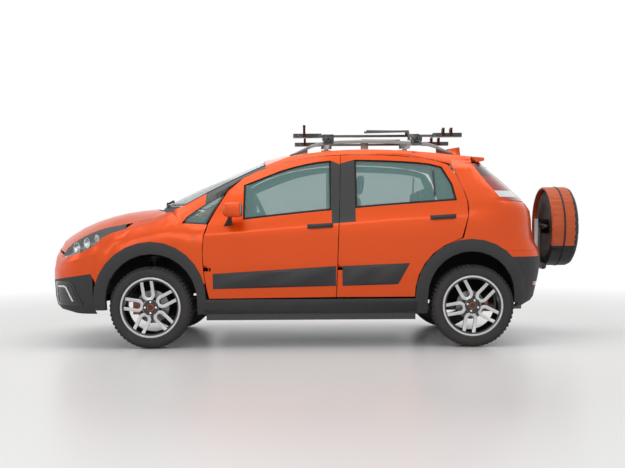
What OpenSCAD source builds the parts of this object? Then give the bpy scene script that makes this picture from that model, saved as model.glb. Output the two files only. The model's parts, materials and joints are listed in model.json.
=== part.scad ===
// Five-door crossover hatchback with a roof rack for bicycles and a swing-out spare wheel.
// Millimetres. The nose points to -X and the left side to -Y. The floor is z = 0.

/* [Body] */
// Distance between the front and rear axles
wheelbase = 2510; // [2450:10:2600]
// Body width over the doors
body_width = 1696; // [1640:2:1760]
// Height of the roof crown over the floor
roof_height = 1588; // [1540:2:1640]
// Front axle forward to the nose of the bumper
front_overhang = 876; // [840:2:900]
// Rear axle back to the bumper
rear_overhang = 635; // [600:5:680]
// Thickness of a whole door below its window
door_depth = 84; // [60:1:90]
// Thickness of a door's window frame
frame_depth = 38; // [25:1:42]
// Thickness of the skins with their inner panels
skin = 16; // [10:1:24]
// Thickness of the roof with its lining
roof_depth = 34; // [20:1:45]
// Shut gap round everything that opens
shut_gap = 6; // [5:0.5:8]
// Seam between pieces that are fixed to each other
seam = 0.6; // [0.3:0.1:0.9]
// Thickness of the glass
glass = 5; // [4:0.5:8]
// Floor clearance under the sills
ride_height = 212; // [195:1:240]

/* [Wheels] */
// Outer diameter of a tyre
tyre_d = 640; // [620:2:650]
// Width of a tyre
tyre_w = 205; // [185:5:215]
// Diameter of the rim's bead seat
rim_d = 446; // [420:2:460]
// Width of the rim
rim_w = 178; // [160:1:190]
// Half the track, hub centre to hub centre
half_track = 735; // [725:1:740]
// Number of loop spokes on a wheel
spokes = 5; // [4:1:6]
// Width of one leg of a loop spoke
spoke_leg = 25; // [18:1:32]
// Diameter of a front brake disc
disc_d = 260; // [240:2:280]
// Thickness of a brake disc
disc_t = 22; // [16:1:26]
// Radius of a stub axle
spindle_r = 17; // [14:1:22]
// Running clearance between a stub axle and its hub
run_fit = 0.05; // [0.02:0.01:0.1]
// Room between the tyre and the front arch
front_arch_gap = 37; // [30:1:45]
// Room between the tyre and the rear arch
rear_arch_gap = 19; // [14:1:30]
// Width of the plastic band round an arch
flare_w = 96; // [70:2:104]
// How far the plastic stands proud of the skin
cladding_proud = 12; // [8:1:18]

/* [Roof] */
// Half the distance between the roof rails
rail_y = 548; // [530:1:556]
// Height of a roof rail over the roof's edge
rail_rise = 64; // [50:1:80]
// Thickness of a rail and of a crossbar
rail_t = 26; // [20:1:32]
// Front crossbar behind the front axle
front_bar_x = 1398; // [1350:1:1450]
// Rear crossbar behind the front axle
rear_bar_x = 2110; // [2060:1:2160]
// Where the bicycle carriers lie across the car
carrier_y = 350; // [300:5:380]
// Width of a bicycle carrier's tray
tray_w = 44; // [36:1:60]

/* [Spare wheel] */
// Height of the spare wheel's centre
spare_z = 942; // [920:1:960]
// Radius of the spare wheel's cover
cover_r = 340; // [335:1:345]
// Depth of the cover
cover_depth = 236; // [215:1:250]
// Gap from the bumper back to the cover's open side
spare_gap = 122; // [100:1:140]
// Wall of the cover
cover_wall = 7; // [5:0.5:9]
// Carrier hinge to the right of the centre line
carrier_hinge_y = 560; // [520:1:580]
// Radius of the carrier's tube
arm_r = 26; // [20:1:32]

/* [Hidden] */

orange = "#c8501c";
black = "#232427";
grey = "#8a8c8e";
silver = "#b9bcbf";

// The shape was drawn at these sizes, and its points move with the sizes set above
drawn_wheelbase = 2510;
drawn_half_width = 848;
drawn_roof = 1588;
drawn_belt = 1000;
drawn_nose = 876;
drawn_tail = 635;
stretch_from = 460;
stretch_to = 2040;

spare_front = wheelbase + rear_overhang + spare_gap;
total_length = front_overhang + spare_front + cover_depth;
front_axle_x = front_overhang - total_length / 2;
hub_z = tyre_d / 2;
rear_x = wheelbase;

// Gap left between pieces that rest on each other
rest = 0.3;

// Body points

function mix(a, b, t) = a + (b - a) * t;
function clamp(t) = min(max(t, 0), 1);
function smooth(t) = let (u = clamp(t)) u * u * (3 - 2 * u);
function step(x, p, i = 0) = i >= len(p) - 2 || x < p[i + 1][0] ? i : step(x, p, i + 1);
function slope(p, i) =
    let (a = p[max(i - 1, 0)], b = p[min(i + 1, len(p) - 1)]) (b[1] - a[1]) / (b[0] - a[0]);

// A smooth curve through the points p, read at x
function curve(x, p) =
    let (i = step(x, p), a = p[i], b = p[i + 1], h = b[0] - a[0], t = clamp((x - a[0]) / h),
         m0 = slope(p, i) * h, m1 = slope(p, i + 1) * h, t2 = t * t, t3 = t2 * t)
    (2 * t3 - 3 * t2 + 1) * a[1] + (t3 - 2 * t2 + t) * m0
        + (3 * t2 - 2 * t3) * b[1] + (t3 - t2) * m1;

// Where a drawn point lies on the car at the sizes that are set
function far_x(x) =
    x < -380 ? -380 + (x + 380) * (front_overhang - 380) / (drawn_nose - 380)
    : x < stretch_from ? x
    : x < stretch_to ? mix(stretch_from, stretch_to + wheelbase - drawn_wheelbase,
                           (x - stretch_from) / (stretch_to - stretch_from))
    : x < drawn_wheelbase ? x + wheelbase - drawn_wheelbase
    : wheelbase + (x - drawn_wheelbase) * rear_overhang / drawn_tail;
function far_z(z) =
    z < drawn_belt ? z
    : mix(drawn_belt, roof_height, (z - drawn_belt) / (drawn_roof - drawn_belt));
wide = body_width / 2 / drawn_half_width;
function at(x, y, z) = [far_x(x), y * wide, far_z(z)];

// Side view lines of the body, as drawn
belt_line = [[250, 955], [450, 969], [777, 1006], [1246, 1055], [1792, 1101], [2400, 1143], [2800, 1168]];
glass_top = [[240, 985], [369, 1083], [529, 1185], [688, 1264], [847, 1328], [1006, 1391], [1166, 1436],
             [1325, 1465], [1524, 1478], [1803, 1474], [2082, 1458], [2201, 1444], [2320, 1412]];
door_top = [[598, 1240], [686, 1318], [846, 1396], [1086, 1470], [1405, 1512], [1725, 1518], [2124, 1492],
            [2250, 1468], [2340, 1438]];
roof_side = [[890, 1440], [1027, 1496], [1164, 1525], [1326, 1548], [1488, 1562], [1811, 1564], [2134, 1546],
             [2482, 1512], [2700, 1496]];
roof_crown = [[850, 1515], [950, 1538], [1100, 1556], [1300, 1574], [1650, 1588], [2050, 1578], [2300, 1560],
              [2560, 1532]];
crease_line = [[-100, 830], [162, 856], [510, 879], [936, 915], [1478, 950], [1943, 985], [2833, 1021]];
door_front = [[380, 463], [430, 449], [480, 438], [570, 424], [728, 412], [806, 415], [876, 422], [969, 450]];
door_rear = [[848, 2432], [895, 2445], [972, 2461], [1051, 2478], [1147, 2473], [1309, 2424], [1391, 2391],
             [1440, 2356]];
bonnet_side = [[-868, 805], [-830, 778], [-780, 755], [-738, 745], [-706, 782], [-650, 826], [-507, 899], [-348, 950], [-196, 975], [-23, 1013],
               [159, 1079], [420, 1210]];
bonnet_crown = [[-868, 805], [-838, 842], [-795, 876], [-625, 968], [-455, 1032], [-285, 1075], [-115, 1099],
                [160, 1116]];
nose = [[265, -660], [285, -780], [320, -848], [480, -872], [600, -876], [740, -874], [800, -862], [840, -840]];
tail = [[297, 3000], [350, 3080], [430, 3104], [570, 3136], [660, 3145], [750, 3136], [830, 3095], [900, 3078],
        [1060, 3062], [1130, 3015], [1300, 2845], [1443, 2700], [1520, 2620]];
flank = [[200, 750], [260, 786], [330, 808], [420, 826], [600, 840], [800, 845], [1100, 848]];
green = [[0, 1], [0.25, 0.79], [0.5, 0.55], [0.75, 0.31], [0.9, 0.15], [1, 0]];
pillar_foot = [260, 700, 1120];
pillar_head = [890, 575, 1440];
screen_bulge = 12;

function belt(x) = curve(x, belt_line);
function crease(x) = curve(x, crease_line);
function pillar_t(x) = (x - pillar_foot[0]) / (pillar_head[0] - pillar_foot[0]);
// Line along the windscreen's side and then the roof's side: its height and its half width
function edge_z(x) =
    x < pillar_foot[0] ? mix(1079, pillar_foot[2], (x - 159) / (pillar_foot[0] - 159))
    : x < pillar_head[0] ? mix(pillar_foot[2], pillar_head[2], pillar_t(x)) + screen_bulge * sin(180 * clamp(pillar_t(x)))
    : curve(x, roof_side);
function edge_y(x) =
    x < pillar_head[0] ? mix(pillar_foot[1], pillar_head[1], max(pillar_t(x), -0.08))
    : curve(x, [[890, 575], [1200, 572], [2100, 572], [2400, 562], [2700, 545]]);

shoulder_h = 51;
flank_top = 848;
function body_y(x, z) =
    let (b = belt(x), c = crease(x), u = (z - c) / (b - c))
    z < c - 60 ? min(curve(z, flank), flank_top)
    : z < c ? mix(min(curve(c - 60, flank), flank_top), flank_top, (z - c + 60) / 60)
    : z < b ? flank_top - shoulder_h * (0.35 * u + 0.65 * u * u)
    : mix(edge_y(x), flank_top - shoulder_h, curve(clamp((z - b) / (edge_z(x) - b)), green));

// Half width in plan at the nose and at the tail
plan_front = -380;
nose_depth = 496;
nose_power = 3;
tail_power = 3.5;
// How far forward of the tail its corner starts to turn in
function tail_len(z) = curve(z, [[800, 600], [1000, 560], [1130, 480], [1443, 350]]);
function super(t, n) = pow(max(1 - pow(clamp(t), n), 0), 1 / n);
function bonnet_y(x) = curve(x, [[-868, 0], [-850, 230], [-800, 440], [-738, 556], [-650, 606], [-507, 652], [-348, 678], [-196, 690], [160, 692]]);
shoulder_drop = 195;
function shoulder_y(x, z) =
    let (b = min(curve(z, flank), flank_top) * super((plan_front - x) / nose_depth, nose_power),
         top = curve(x, bonnet_side), t = clamp((z - top + shoulder_drop) / shoulder_drop))
    b - (b - bonnet_y(x)) * pow(t, 2.5);
// Half width of the body at x and z
function half(x, z) =
    let (w = smooth((x + 50) / 400), r = curve(z, tail) - tail_len(z),
         a = w < 1 ? shoulder_y(x, z) : 0, b = w > 0 ? body_y(min(x, r), z) : 0)
    mix(a, b, w) * super((x - r) / tail_len(z), tail_power);

// A point on the tail: q is 0 at the side and 90 on the centre line
function tail_y(z) = body_y(curve(z, tail) - tail_len(z), z);
function tail_pt(z, q, in = 0) =
    [curve(z, tail) - tail_len(z) + (tail_len(z) - in) * pow(sin(q), 2 / tail_power),
     (tail_y(z) - in) * pow(cos(q), 2 / tail_power), z];
function tail_q(x, z) =
    asin(pow(clamp((x - curve(z, tail) + tail_len(z)) / tail_len(z)), tail_power / 2));
function tail_q_at(y, z) = acos(pow(clamp(y / tail_y(z)), tail_power / 2));
function tail_x_at(y, z) = tail_pt(z, tail_q_at(y, z))[0];

function drawn(g) = [for (r = g) [for (p = r) at(p[0], p[1], p[2])]];
// A row of points from one side to the centre line, carried on to the other side
function both(r, s = 1) = concat([for (p = r) [p[0], s * p[1], p[2]]],
                                 [for (i = [len(r) - 2:-1:0]) [r[i][0], -s * r[i][1], r[i][2]]]);

// A closed panel between an outer and an inner grid, with an opening of whole cells left out
module panel(outer, inner, hole = [0, 0, 0, 0]) {
    m = len(outer);
    n = len(outer[0]);
    k = m * n;
    pts = concat([for (r = outer) each r], [for (r = inner) each r]);
    function solid_cell(i, j) =
        i >= 0 && j >= 0 && i < m - 1 && j < n - 1
        && !(i >= hole[0] && i < hole[1] && j >= hole[2] && j < hole[3]);
    skins = [for (i = [0:m - 2], j = [0:n - 2]) if (solid_cell(i, j))
             each let (a = i * n + j, b = a + 1, c = a + n + 1, d = a + n)
             [[a, b, c], [a, c, d], [k + a, k + c, k + b], [k + a, k + d, k + c]]];
    rims = [for (i = [0:m - 1], j = [0:n - 1])
            let (a = i * n + j, b = a + 1, d = a + n,
                 here = solid_cell(i, j), below = solid_cell(i - 1, j), left = solid_cell(i, j - 1))
            each concat(
                j < n - 1 && here && !below ? [[b, a, k + a], [b, k + a, k + b]] : [],
                j < n - 1 && below && !here ? [[a, b, k + b], [a, k + b, k + a]] : [],
                i < m - 1 && here && !left ? [[a, d, k + d], [a, k + d, k + a]] : [],
                i < m - 1 && left && !here ? [[d, a, k + a], [d, k + a, k + d]] : [])];
    polyhedron(pts, concat(skins, rims), convexity = 6);
}

// A solid through rings of points, closed at both ends
function middle(r) = [for (k = [0:2]) sum([for (p = r) p[k]]) / len(r)];
function sum(v, i = 0) = i >= len(v) ? 0 : v[i] + sum(v, i + 1);
function vec_sum(v, i = 0) = i >= len(v) ? [0, 0, 0] : v[i] + vec_sum(v, i + 1);
function ring_area(r) = vec_sum([for (j = [1:len(r) - 2]) cross(r[j] - r[0], r[j + 1] - r[0])]);
module tube(rings) {
    m = len(rings);
    n = len(rings[0]);
    turned = ring_area(rings[0]) * (middle(rings[1]) - middle(rings[0])) > 0;
    pts = [for (r = rings) each r];
    sides = [for (i = [0:m - 2], j = [0:n - 1])
             let (a = i * n + j, b = i * n + (j + 1) % n, c = b + n, d = a + n)
             each turned ? [[a, d, c], [a, c, b]] : [[a, b, c], [a, c, d]]];
    first = [for (j = [0:n - 1]) j];
    last = [for (j = [0:n - 1]) (m - 1) * n + j];
    function back(v) = [for (i = [len(v) - 1:-1:0]) v[i]];
    ends = turned ? [first, back(last)] : [back(first), last];
    polyhedron(pts, concat(sides, ends), convexity = 6);
}

module place() { translate([front_axle_x, 0, 0]) children(); }
module on(side) { mirror([0, side < 0 ? 1 : 0, 0]) children(); }
module box(a, b) { translate(a) cube(b - a); }
// A box between two drawn points
module slab(a, b) { box(at(a[0], a[1], a[2]), at(b[0], b[1], b[2])); }
module across(r, y0, y1) { translate([0, y1, 0]) rotate([90, 0, 0]) cylinder(r = r, h = y1 - y0, $fn = 64); }

// Arches
arch_front = [8, hub_z + 60, tyre_d / 2 + front_arch_gap];
arch_rear = [wheelbase - 10, hub_z + 86, tyre_d / 2 + rear_arch_gap];
function arc_x(arch, z, r, s) = arch[0] + s * sqrt(max(r * r - pow(max(z - arch[1], 0), 2), 0));

// Doors

door_rows = [395, 470, 560, 650, 730, 790, 830, 852];
front_door_x = [722, 1416];
rear_door_x = [1602, 2396];
// The straight line between the front and the rear door
function split(z) = mix(1449, 1494, clamp((z - 395) / 1105));
function front_end(z) = split(z) - shut_gap / 2;
function rear_start(z) = split(z) + shut_gap / 2;
function fan(a, b, n) = [for (i = [0:n]) mix(a, b, i / n)];
function row(x0, xs, x1) = concat([x0], xs, [x1]);

// Side view outline of a door as rows of points from its sill to its top
function front_rows() =
    let (xs = fan(front_door_x[0], front_door_x[1], 7), b = front_end(1510))
    concat(
        [for (z = door_rows) [for (x = row(door_front_x(z), xs, front_end(z)))
            [x, z - (z < 400 ? 8 * (1 - clamp((x - 411) / 1000)) : 0)]]],
        [[for (x = row(curve(880, door_front), xs, front_end(949))) [x, crease(x)]],
         [for (x = row(curve(895, door_front) + 4, xs, front_end(969))) [x, crease(x) + 20]],
         [for (x = row(452, xs, front_end(1076))) [x, belt(x)]],
         concat([[500, 1062]], [for (x = xs) [x, mix(belt(x), curve(x, glass_top), 0.5)]], [[front_end(1275), 1275]]),
         concat([[550, 1150]], [for (x = xs) [x, curve(x, glass_top)]], [[front_end(1440), 1440]]),
         concat([[600, 1236]], [for (x = xs) [x, curve(x, door_top)]], [[b, curve(b, door_top)]])]);
function rear_rows() =
    let (wa = rear_door_x[0], n = 7, b = rear_start(1514),
         r = arch_rear[2] + flare_w + shut_gap, cx = arch_rear[0] - wheelbase + drawn_wheelbase)
    concat(
        [for (z = door_rows)
            let (end = min(cx - sqrt(max(r * r - pow(max(z - arch_rear[1], 0), 2), 0)), 2425))
            [for (x = row(rear_start(z), fan(wa, end - 30, n), end)) [x, z]]],
        [[for (x = row(rear_start(950), fan(wa, 2380, n), curve(crease(2440), door_rear))) [x, crease(x)]],
         [for (x = row(rear_start(970), fan(wa, 2386, n), curve(crease(2440) + 20, door_rear))) [x, crease(x) + 20]],
         [for (x = row(rear_start(1076), fan(wa, rear_door_x[1], n), curve(1144, door_rear))) [x, belt(x)]],
         concat([[rear_start(1290), 1290]], [for (x = fan(wa, 2372, n)) [x, mix(belt(x), curve(x, glass_top), 0.5)]],
                [[2446, 1252]]),
         concat([[rear_start(1450), 1450]], [for (x = fan(wa, 2300, n)) [x, curve(x, glass_top)]], [[2408, 1350]]),
         concat([[b, curve(b, door_top)]], [for (x = fan(wa, 2268, n)) [x, curve(x, door_top)]],
                [[2346, 1436]])]);
belt_row = len(door_rows) + 2;
door_taper = 22;

function lift(rows, in = 0) = [for (r = rows) [for (p = r) at(p[0], half(p[0], p[1]) - in, p[1])]];
function lift_inside(rows) =
    [for (i = [0:len(rows) - 1]) let (r = rows[i], last = len(r) - 1)
        [for (j = [0:last]) let (p = r[j], d = i >= belt_row ? frame_depth : door_depth)
            at(p[0] - (j == last ? (i >= belt_row ? door_taper / 2 : door_taper) : 0),
               half(p[0], p[1]) - d, p[1])]];

module door(rows, side) {
    on(side) panel(lift(rows), lift_inside(rows), [belt_row, belt_row + 2, 1, len(rows[0]) - 2]);
}
module door_glass(rows, side) {
    inset = 14;
    pane = [for (i = [belt_row:belt_row + 2]) [for (j = [1:len(rows[0]) - 2]) rows[i][j]]];
    m = len(pane) - 1;
    n = len(pane[0]) - 1;
    edge = [for (i = [0:m]) [for (j = [0:n])
        [pane[i][j][0] + (j == 0 ? seam : j == n ? -seam : 0),
         pane[i][j][1] + (i == 0 ? seam : i == m ? -seam : 0)]]];
    color("#9fb7b5") on(side) panel(lift(edge, inset), lift(edge, inset + glass));
}

// A moulding on the door's skin: a strip between two heights with sloping edges
module moulding(x0, x1, low0, low1, high0, high1, slant, side) {
    xs = fan(x0, x1, 4);
    function z_at(f, t) = mix(mix(low0, low1, f), mix(high0, high1, f), t);
    outer = [for (t = [0, 0.12, 0.88, 1]) [for (i = [0:4])
        let (f = i / 4, x = xs[i] + (i == 4 ? -slant * (1 - t) : 0), z = z_at(f, t),
             out = (t == 0 || t == 1 || i == 0 || i == 4) ? 4 : cladding_proud + 6)
        at(x, half(x, z) + seam + out, z)]];
    inner = [for (t = [0, 0.12, 0.88, 1]) [for (i = [0:4])
        let (f = i / 4, x = xs[i] + (i == 4 ? -slant * (1 - t) : 0), z = z_at(f, t))
        at(x, half(x, z) + seam, z)]];
    color(black) on(side) panel(outer, inner);
}
module handle(x0, z0, side) {
    length = 200;
    out = 34;
    color(orange) on(side) panel(
        [for (t = [0, 0.5, 1]) [for (f = [0, 0.12, 0.5, 0.88, 1])
            let (x = x0 + f * length, z = z0 + 10 * f + (t - 0.5) * 34)
            at(x, half(x, z0) + seam + (f == 0 || f == 1 ? 6 : t == 0.5 ? out : out - 8), z)]],
        [for (t = [0, 0.5, 1]) [for (f = [0, 0.12, 0.5, 0.88, 1])
            let (x = x0 + f * length, z = z0 + 10 * f + (t - 0.5) * 34)
            at(x, half(x, z) + 2 * seam, z)]]);
}
// Door mirror: a rounded housing on a short stalk
mirror_at = [655, 945, 1074];
mirror_size = [150, 200, 112];
module door_mirror(side) {
    color(orange) on(side) hull() {
        for (dy = [-1, 1], dz = [-1, 1])
            translate([far_x(mirror_at[0]) - 34, mirror_at[1] * wide + dy * (mirror_size[1] / 2 - 40),
                       mirror_at[2] + dz * (mirror_size[2] / 2 - 36)]) sphere(r = 34, $fn = 14);
        for (dy = [-1, 1], dz = [-1, 1])
            translate([far_x(mirror_at[0]) + 50, mirror_at[1] * wide + dy * (mirror_size[1] / 2 - 22),
                       mirror_at[2] + dz * (mirror_size[2] / 2 - 20)]) sphere(r = 18, $fn = 14);
    }
    foot = [[575, 952], [640, 958], [640, 984], [588, 980]];
    color(black) on(side) tube([
        [for (p = foot) at(p[0], half(p[0], p[1]), p[1]) + [0, rest, 0]],
        [for (p = foot) at(p[0] * 0.5 + 318, 0, p[1] + 38) + [0, mirror_at[1] * wide - mirror_size[1] / 2 + 6, 0]],
        [for (p = foot) at(p[0] * 0.5 + 324, 0, p[1] + 52) + [0, mirror_at[1] * wide - 50, 0]]]);
}

// Windscreen, roof and fixed glass
post_in = 134;
function screen_pt(s, v) =
    let (a = abs(v),
         foot = [10 + (pillar_foot[0] - 10) * pow(a, 2.2), pillar_foot[1] * v, 1128 - 8 * a * a],
         head = [850 + 40 * a * a, pillar_head[1] * v, 1515 - 75 * pow(a, 2.5)])
    mix(foot, head, s) + [0, 0, screen_bulge * sin(180 * s)];
screen_v = [for (i = [0:10]) i / 5 - 1];
module windscreen() {
    function pane(down) = [for (s = [0, 0.25, 0.5, 0.75, 1]) [for (v = screen_v)
        let (p = screen_pt(s, v)) at(p[0], p[1] * (1 - seam / 600), p[2] - down)]];
    panel(pane(0), pane(glass));
}
module corner_pane(side) {
    rows = [for (s = [0, 0.5, 1]) [for (t = [0.06, 0.3, 0.55, 0.8, 1])
        let (x0 = mix(258, 434, t), x1 = mix(258, 572, t), low = lookup(x0, fender_foot) + 1.2,
             high = lookup(x1, frame_low) - 0.7)
        [mix(x0, x1, s), mix(low, high, s)]]];
    on(side) panel(lift(rows, 6), lift(rows, 6 + glass));
}
module fixed_glass() {
    color("#9fb7b5") place() {
        windscreen();
        for (s = [-1, 1]) corner_pane(s);
    }
}

function roof_pt(x, v) =
    [x, v * edge_y(x), curve(x, roof_crown) - (curve(x, roof_crown) - edge_z(x)) * pow(abs(v), 2.5)];
roof_back = 2566;
function roof_x(v, t) = mix(852 + 40 * v * v, roof_back - 20 * v * v, t);
gate_hinge = [2588, 150, 1523];
module roof_skin() {
    function sheet(down) = [for (t = [0:10]) [for (v = screen_v)
        let (p = roof_pt(roof_x(v, t / 10), v))
        at(p[0] + (t == 0 ? seam : 0), p[1] * (1 - seam / 570), p[2] - down * (1 - 0.62 * pow(abs(v), 4)))]];
    color(orange) place() union() {
        panel(sheet(0), sheet(roof_depth));
        tube([for (f = [[2424, 30, 1], [2436, 38, 70], [2548, 38, 100], [2558, 34, 26]])
            let (z = roof_pt(f[0], 0)[2])
            [at(f[0], -f[1], z - 12), at(f[0], f[1], z - 12), at(f[0], f[1] * 0.8, z + f[2]),
             at(f[0], -f[1] * 0.8, z + f[2])]]);
        for (s = [-1, 1]) {
            box([far_x(2556), s * gate_hinge[1] - 10, far_z(1502)],
                [far_x(gate_hinge[0]) + 6, s * gate_hinge[1] + 10, far_z(gate_hinge[2]) + 4]);
            translate([far_x(gate_hinge[0]), s * gate_hinge[1], far_z(gate_hinge[2])]) across(hinge_pin, -20, 20);
        }
    }
}

// Side frame: roof rail and pillars, rear quarter, sill

function pillar_low(x) =
    x < 250 ? lookup(x, fender_foot) + seam : x < 592 ? lookup(x, frame_low)
    : x < 2336 ? curve(x, door_top) + shut_gap : 1440;
frame_low = [for (x = fan(266, 578, 4)) [x, curve(x, glass_top) + 2]];
rail_stations = concat([172, 205, 245], fan(266, 578, 4), [594], fan(640, 892, 3),
                       [for (t = [1:10]) roof_x(1, t / 10)]);
module side_rail() {
    function low(x) = pillar_low(x);
    function high(x) = edge_z(x);
    function under(x) = max(high(x) - roof_depth - 2, low(x) + 1);
    panel([for (t = [0, 0.5, 1]) [for (x = rail_stations)
              let (z = mix(low(x), high(x), t)) at(x, t == 1 ? edge_y(x) : half(x, z), z)]],
          [for (t = [0, 0.5, 1]) [for (x = rail_stations)
              at(x, mix(half(x, low(x)) - 60, edge_y(x), t), mix(low(x), under(x), t))]]);
}
// The rear quarter runs from the rear door's edge to the tail, from the arch to the roof
lamp_rows = [1139, 1170, 1220, 1280, 1340, 1400, 1447];
quarter_rows = concat([748, 780, 820, 848, 870, 930, 1010, 1080, 1134], lamp_rows);
function quarter_front(z) = curve(z, door_rear) + shut_gap;
lamp_front = [[1139, 2838], [1150, 2762], [1170, 2734], [1260, 2668], [1340, 2612], [1420, 2564], [1450, 2556]];
gate_edge = 600;
function quarter_back(z) = z < 1136 ? tail_x_at(gate_edge, z) : curve(z, lamp_front) - seam;
module quarter() {
    cx = arch_rear[0] - wheelbase + drawn_wheelbase;
    n = 10;
    function line(z) =
        let (dz = z - arch_rear[1], w = sqrt(max(pow(arch_rear[2] + flare_w, 2) - dz * dz, 0)),
             a = z < 846 ? cx - w : quarter_front(z), b = quarter_back(z))
        [for (i = [0:n]) mix(a, b, 1 - pow(1 - i / n, 1.5))];
    lip = arch_rear[2] + 27;
    rows = [for (z = quarter_rows) [for (x = line(z))
        [x, z > 750 ? z : max(z, arch_rear[1] + sqrt(max(lip * lip - pow(x - cx, 2), 0)))]]];
    panel(lift(rows), [for (r = rows) [for (j = [0:n])
        let (p = r[j], k = pow(j / n, 3), in = skin + 14) at(p[0] - in * k, half(p[0], p[1]) - in * (1 - k), p[1])]]);
}
module post(pts, sx, sy, sz = 2) {
    for (i = [0:len(pts) - 2]) hull() for (p = [pts[i], pts[i + 1]]) translate(p) cube([sx, sy, sz], center = true);
}
function inner_pt(x, z, in) = at(x, half(x, z) - in, z);
sill_y = 725;
sill_z = ride_height + 66;
floor_z = 232;
floor_t = 26;
module side_frame(side) {
    low = floor_z + floor_t + rest;
    color(orange) place() on(side) union() {
        side_rail();
        quarter();
        post(concat([for (z = [low + 1, 600, 900, 1060]) inner_pt(1490, z, post_in)],
                    [inner_pt(1490, 1200, 88), inner_pt(1490, 1350, 76), inner_pt(1490, 1500, 74),
                     inner_pt(1490, 1524, 56)]), 100, 46);
        post(concat([for (z = [low + 1, 600, 930]) inner_pt(480, z, post_in)],
                    [inner_pt(560, 1150, 94), inner_pt(632, 1284, 74), inner_pt(678, 1318, 67)]), 70, 50);
        post([at(440, sill_y, sill_z), at(2060, sill_y, sill_z)], 20, 70 * wide, 130);
        for (x = [480, 1490]) slab([x - 34, 630, low], [x + 34, 700, 342]);
        hinge_arms(front_hinge_x, front_hinges);
        hinge_arms(rear_hinge_x, rear_hinges);
        box([far_x(136), bonnet_hinge_y + 10, far_z(bonnet_hinge[2]) - 10],
            [far_x(190), bonnet_hinge_y + 20, far_z(bonnet_hinge[2]) + 8]);
        translate([far_x(bonnet_hinge[0]), 0, far_z(bonnet_hinge[2])])
            across(hinge_pin, bonnet_hinge_y - 10, bonnet_hinge_y + 14);
    }
}

// Hinge pins of the doors stand just inside the skin, behind the door's front edge
hinge_pin = 4;
hinge_in = 15;
hinge_back = 42;
hinge_tall = 30;
front_hinges = [630, 845];
rear_hinges = [635, 885];
front_hinge_x = 414 + hinge_back;
rear_hinge_x = 1466 + hinge_back;
hinge_y = (flank_top - hinge_in) * wide;
module hinge_room(x, zs) {
    for (z = zs) {
        box([far_x(x) - hinge_back - 14, hinge_y - 140, z - hinge_tall],
            [far_x(x) + 17, hinge_y + hinge_pin + 4, z + hinge_tall]);
        translate([far_x(x), hinge_y, z - hinge_tall - 14])
            cylinder(r = hinge_pin + run_fit, h = 2 * hinge_tall + 28, $fn = 24);
    }
}
module hinge_arms(x, zs) {
    for (z = zs) {
        box([far_x(x) - 4.5, hinge_y - 134, z - 14], [far_x(x) + 4.5, hinge_y, z + 14]);
        translate([far_x(x), hinge_y, z - hinge_tall - 12])
            cylinder(r = hinge_pin, h = 2 * hinge_tall + 24, $fn = 24);
    }
}
module door_front(side) {
    color(orange) place() difference() {
        door(front_rows(), side);
        on(side) hinge_room(front_hinge_x, front_hinges);
    }
}
module door_rear(side) {
    color(orange) place() difference() {
        door(rear_rows(), side);
        on(side) hinge_room(rear_hinge_x, rear_hinges);
    }
}
module trim_front(side) {
    place() {
        moulding(490, 1446, 462, 482, 580, 636, 0, side);
        handle(1225, 944, side);
        door_mirror(side);
    }
}
module trim_rear(side) {
    place() {
        moulding(1496, 2020, 482, 494, 636, 656, 90, side);
        handle(2180, 1008, side);
    }
}

// Front fender from the arch up to the bonnet's side, and back to the door and the pillar's foot
lamp_low = [[-745, 712], [-722, 712], [-661, 719], [-597, 734], [-545, 752], [-502, 768], [-460, 790],
            [-425, 815], [-367, 874], [-320, 900], [-270, 916], [-205, 936]];
bonnet_gap = 1;
fender_foot = [[159, 1068], [200, 1018], [245, 976], [446, 964]];
function fender_top(x) =
    x < -204 ? curve(x, lamp_low) - seam : x < 159 ? curve(x, bonnet_side) - bonnet_gap : lookup(x, fender_foot);
fender_x = [-425, -367, -320, -270, -205, -150, -95, -40, 20, 80, 120, 159, 200, 245, 300, 350];
function fender_end(z) = door_front_x(z) - shut_gap;
function door_front_x(z) =
    let (r = arch_front[2] + flare_w - flare_lean, dz = clamp((z - arch_front[1]) / r) * r)
    max(curve(z, door_front), arch_front[0] + sqrt(r * r - dz * dz) + shut_gap);
flare_lean = 26;
sheet_t = 6;
module fender(side) {
    r = arch_front[2] + 24;
    rows = [for (t = [0, 0.2, 0.4, 0.6, 0.8, 0.92, 1]) concat(
        [for (x = fender_x)
            let (low = arch_front[1] + sqrt(max(r * r - pow(x - arch_front[0], 2), 14400)))
            [x, mix(low, fender_top(x), t)]],
        [let (z = mix(500, fender_top(446), t)) [fender_end(z), z]])];
    m = len(rows) - 1;
    color(orange) place() on(side) panel(lift(rows),
        [for (i = [0:m]) [for (p = rows[i])
            at(p[0], half(p[0], p[1]) - sheet_t, p[1] - (i == m ? 6 : 0))]]);
}

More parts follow.
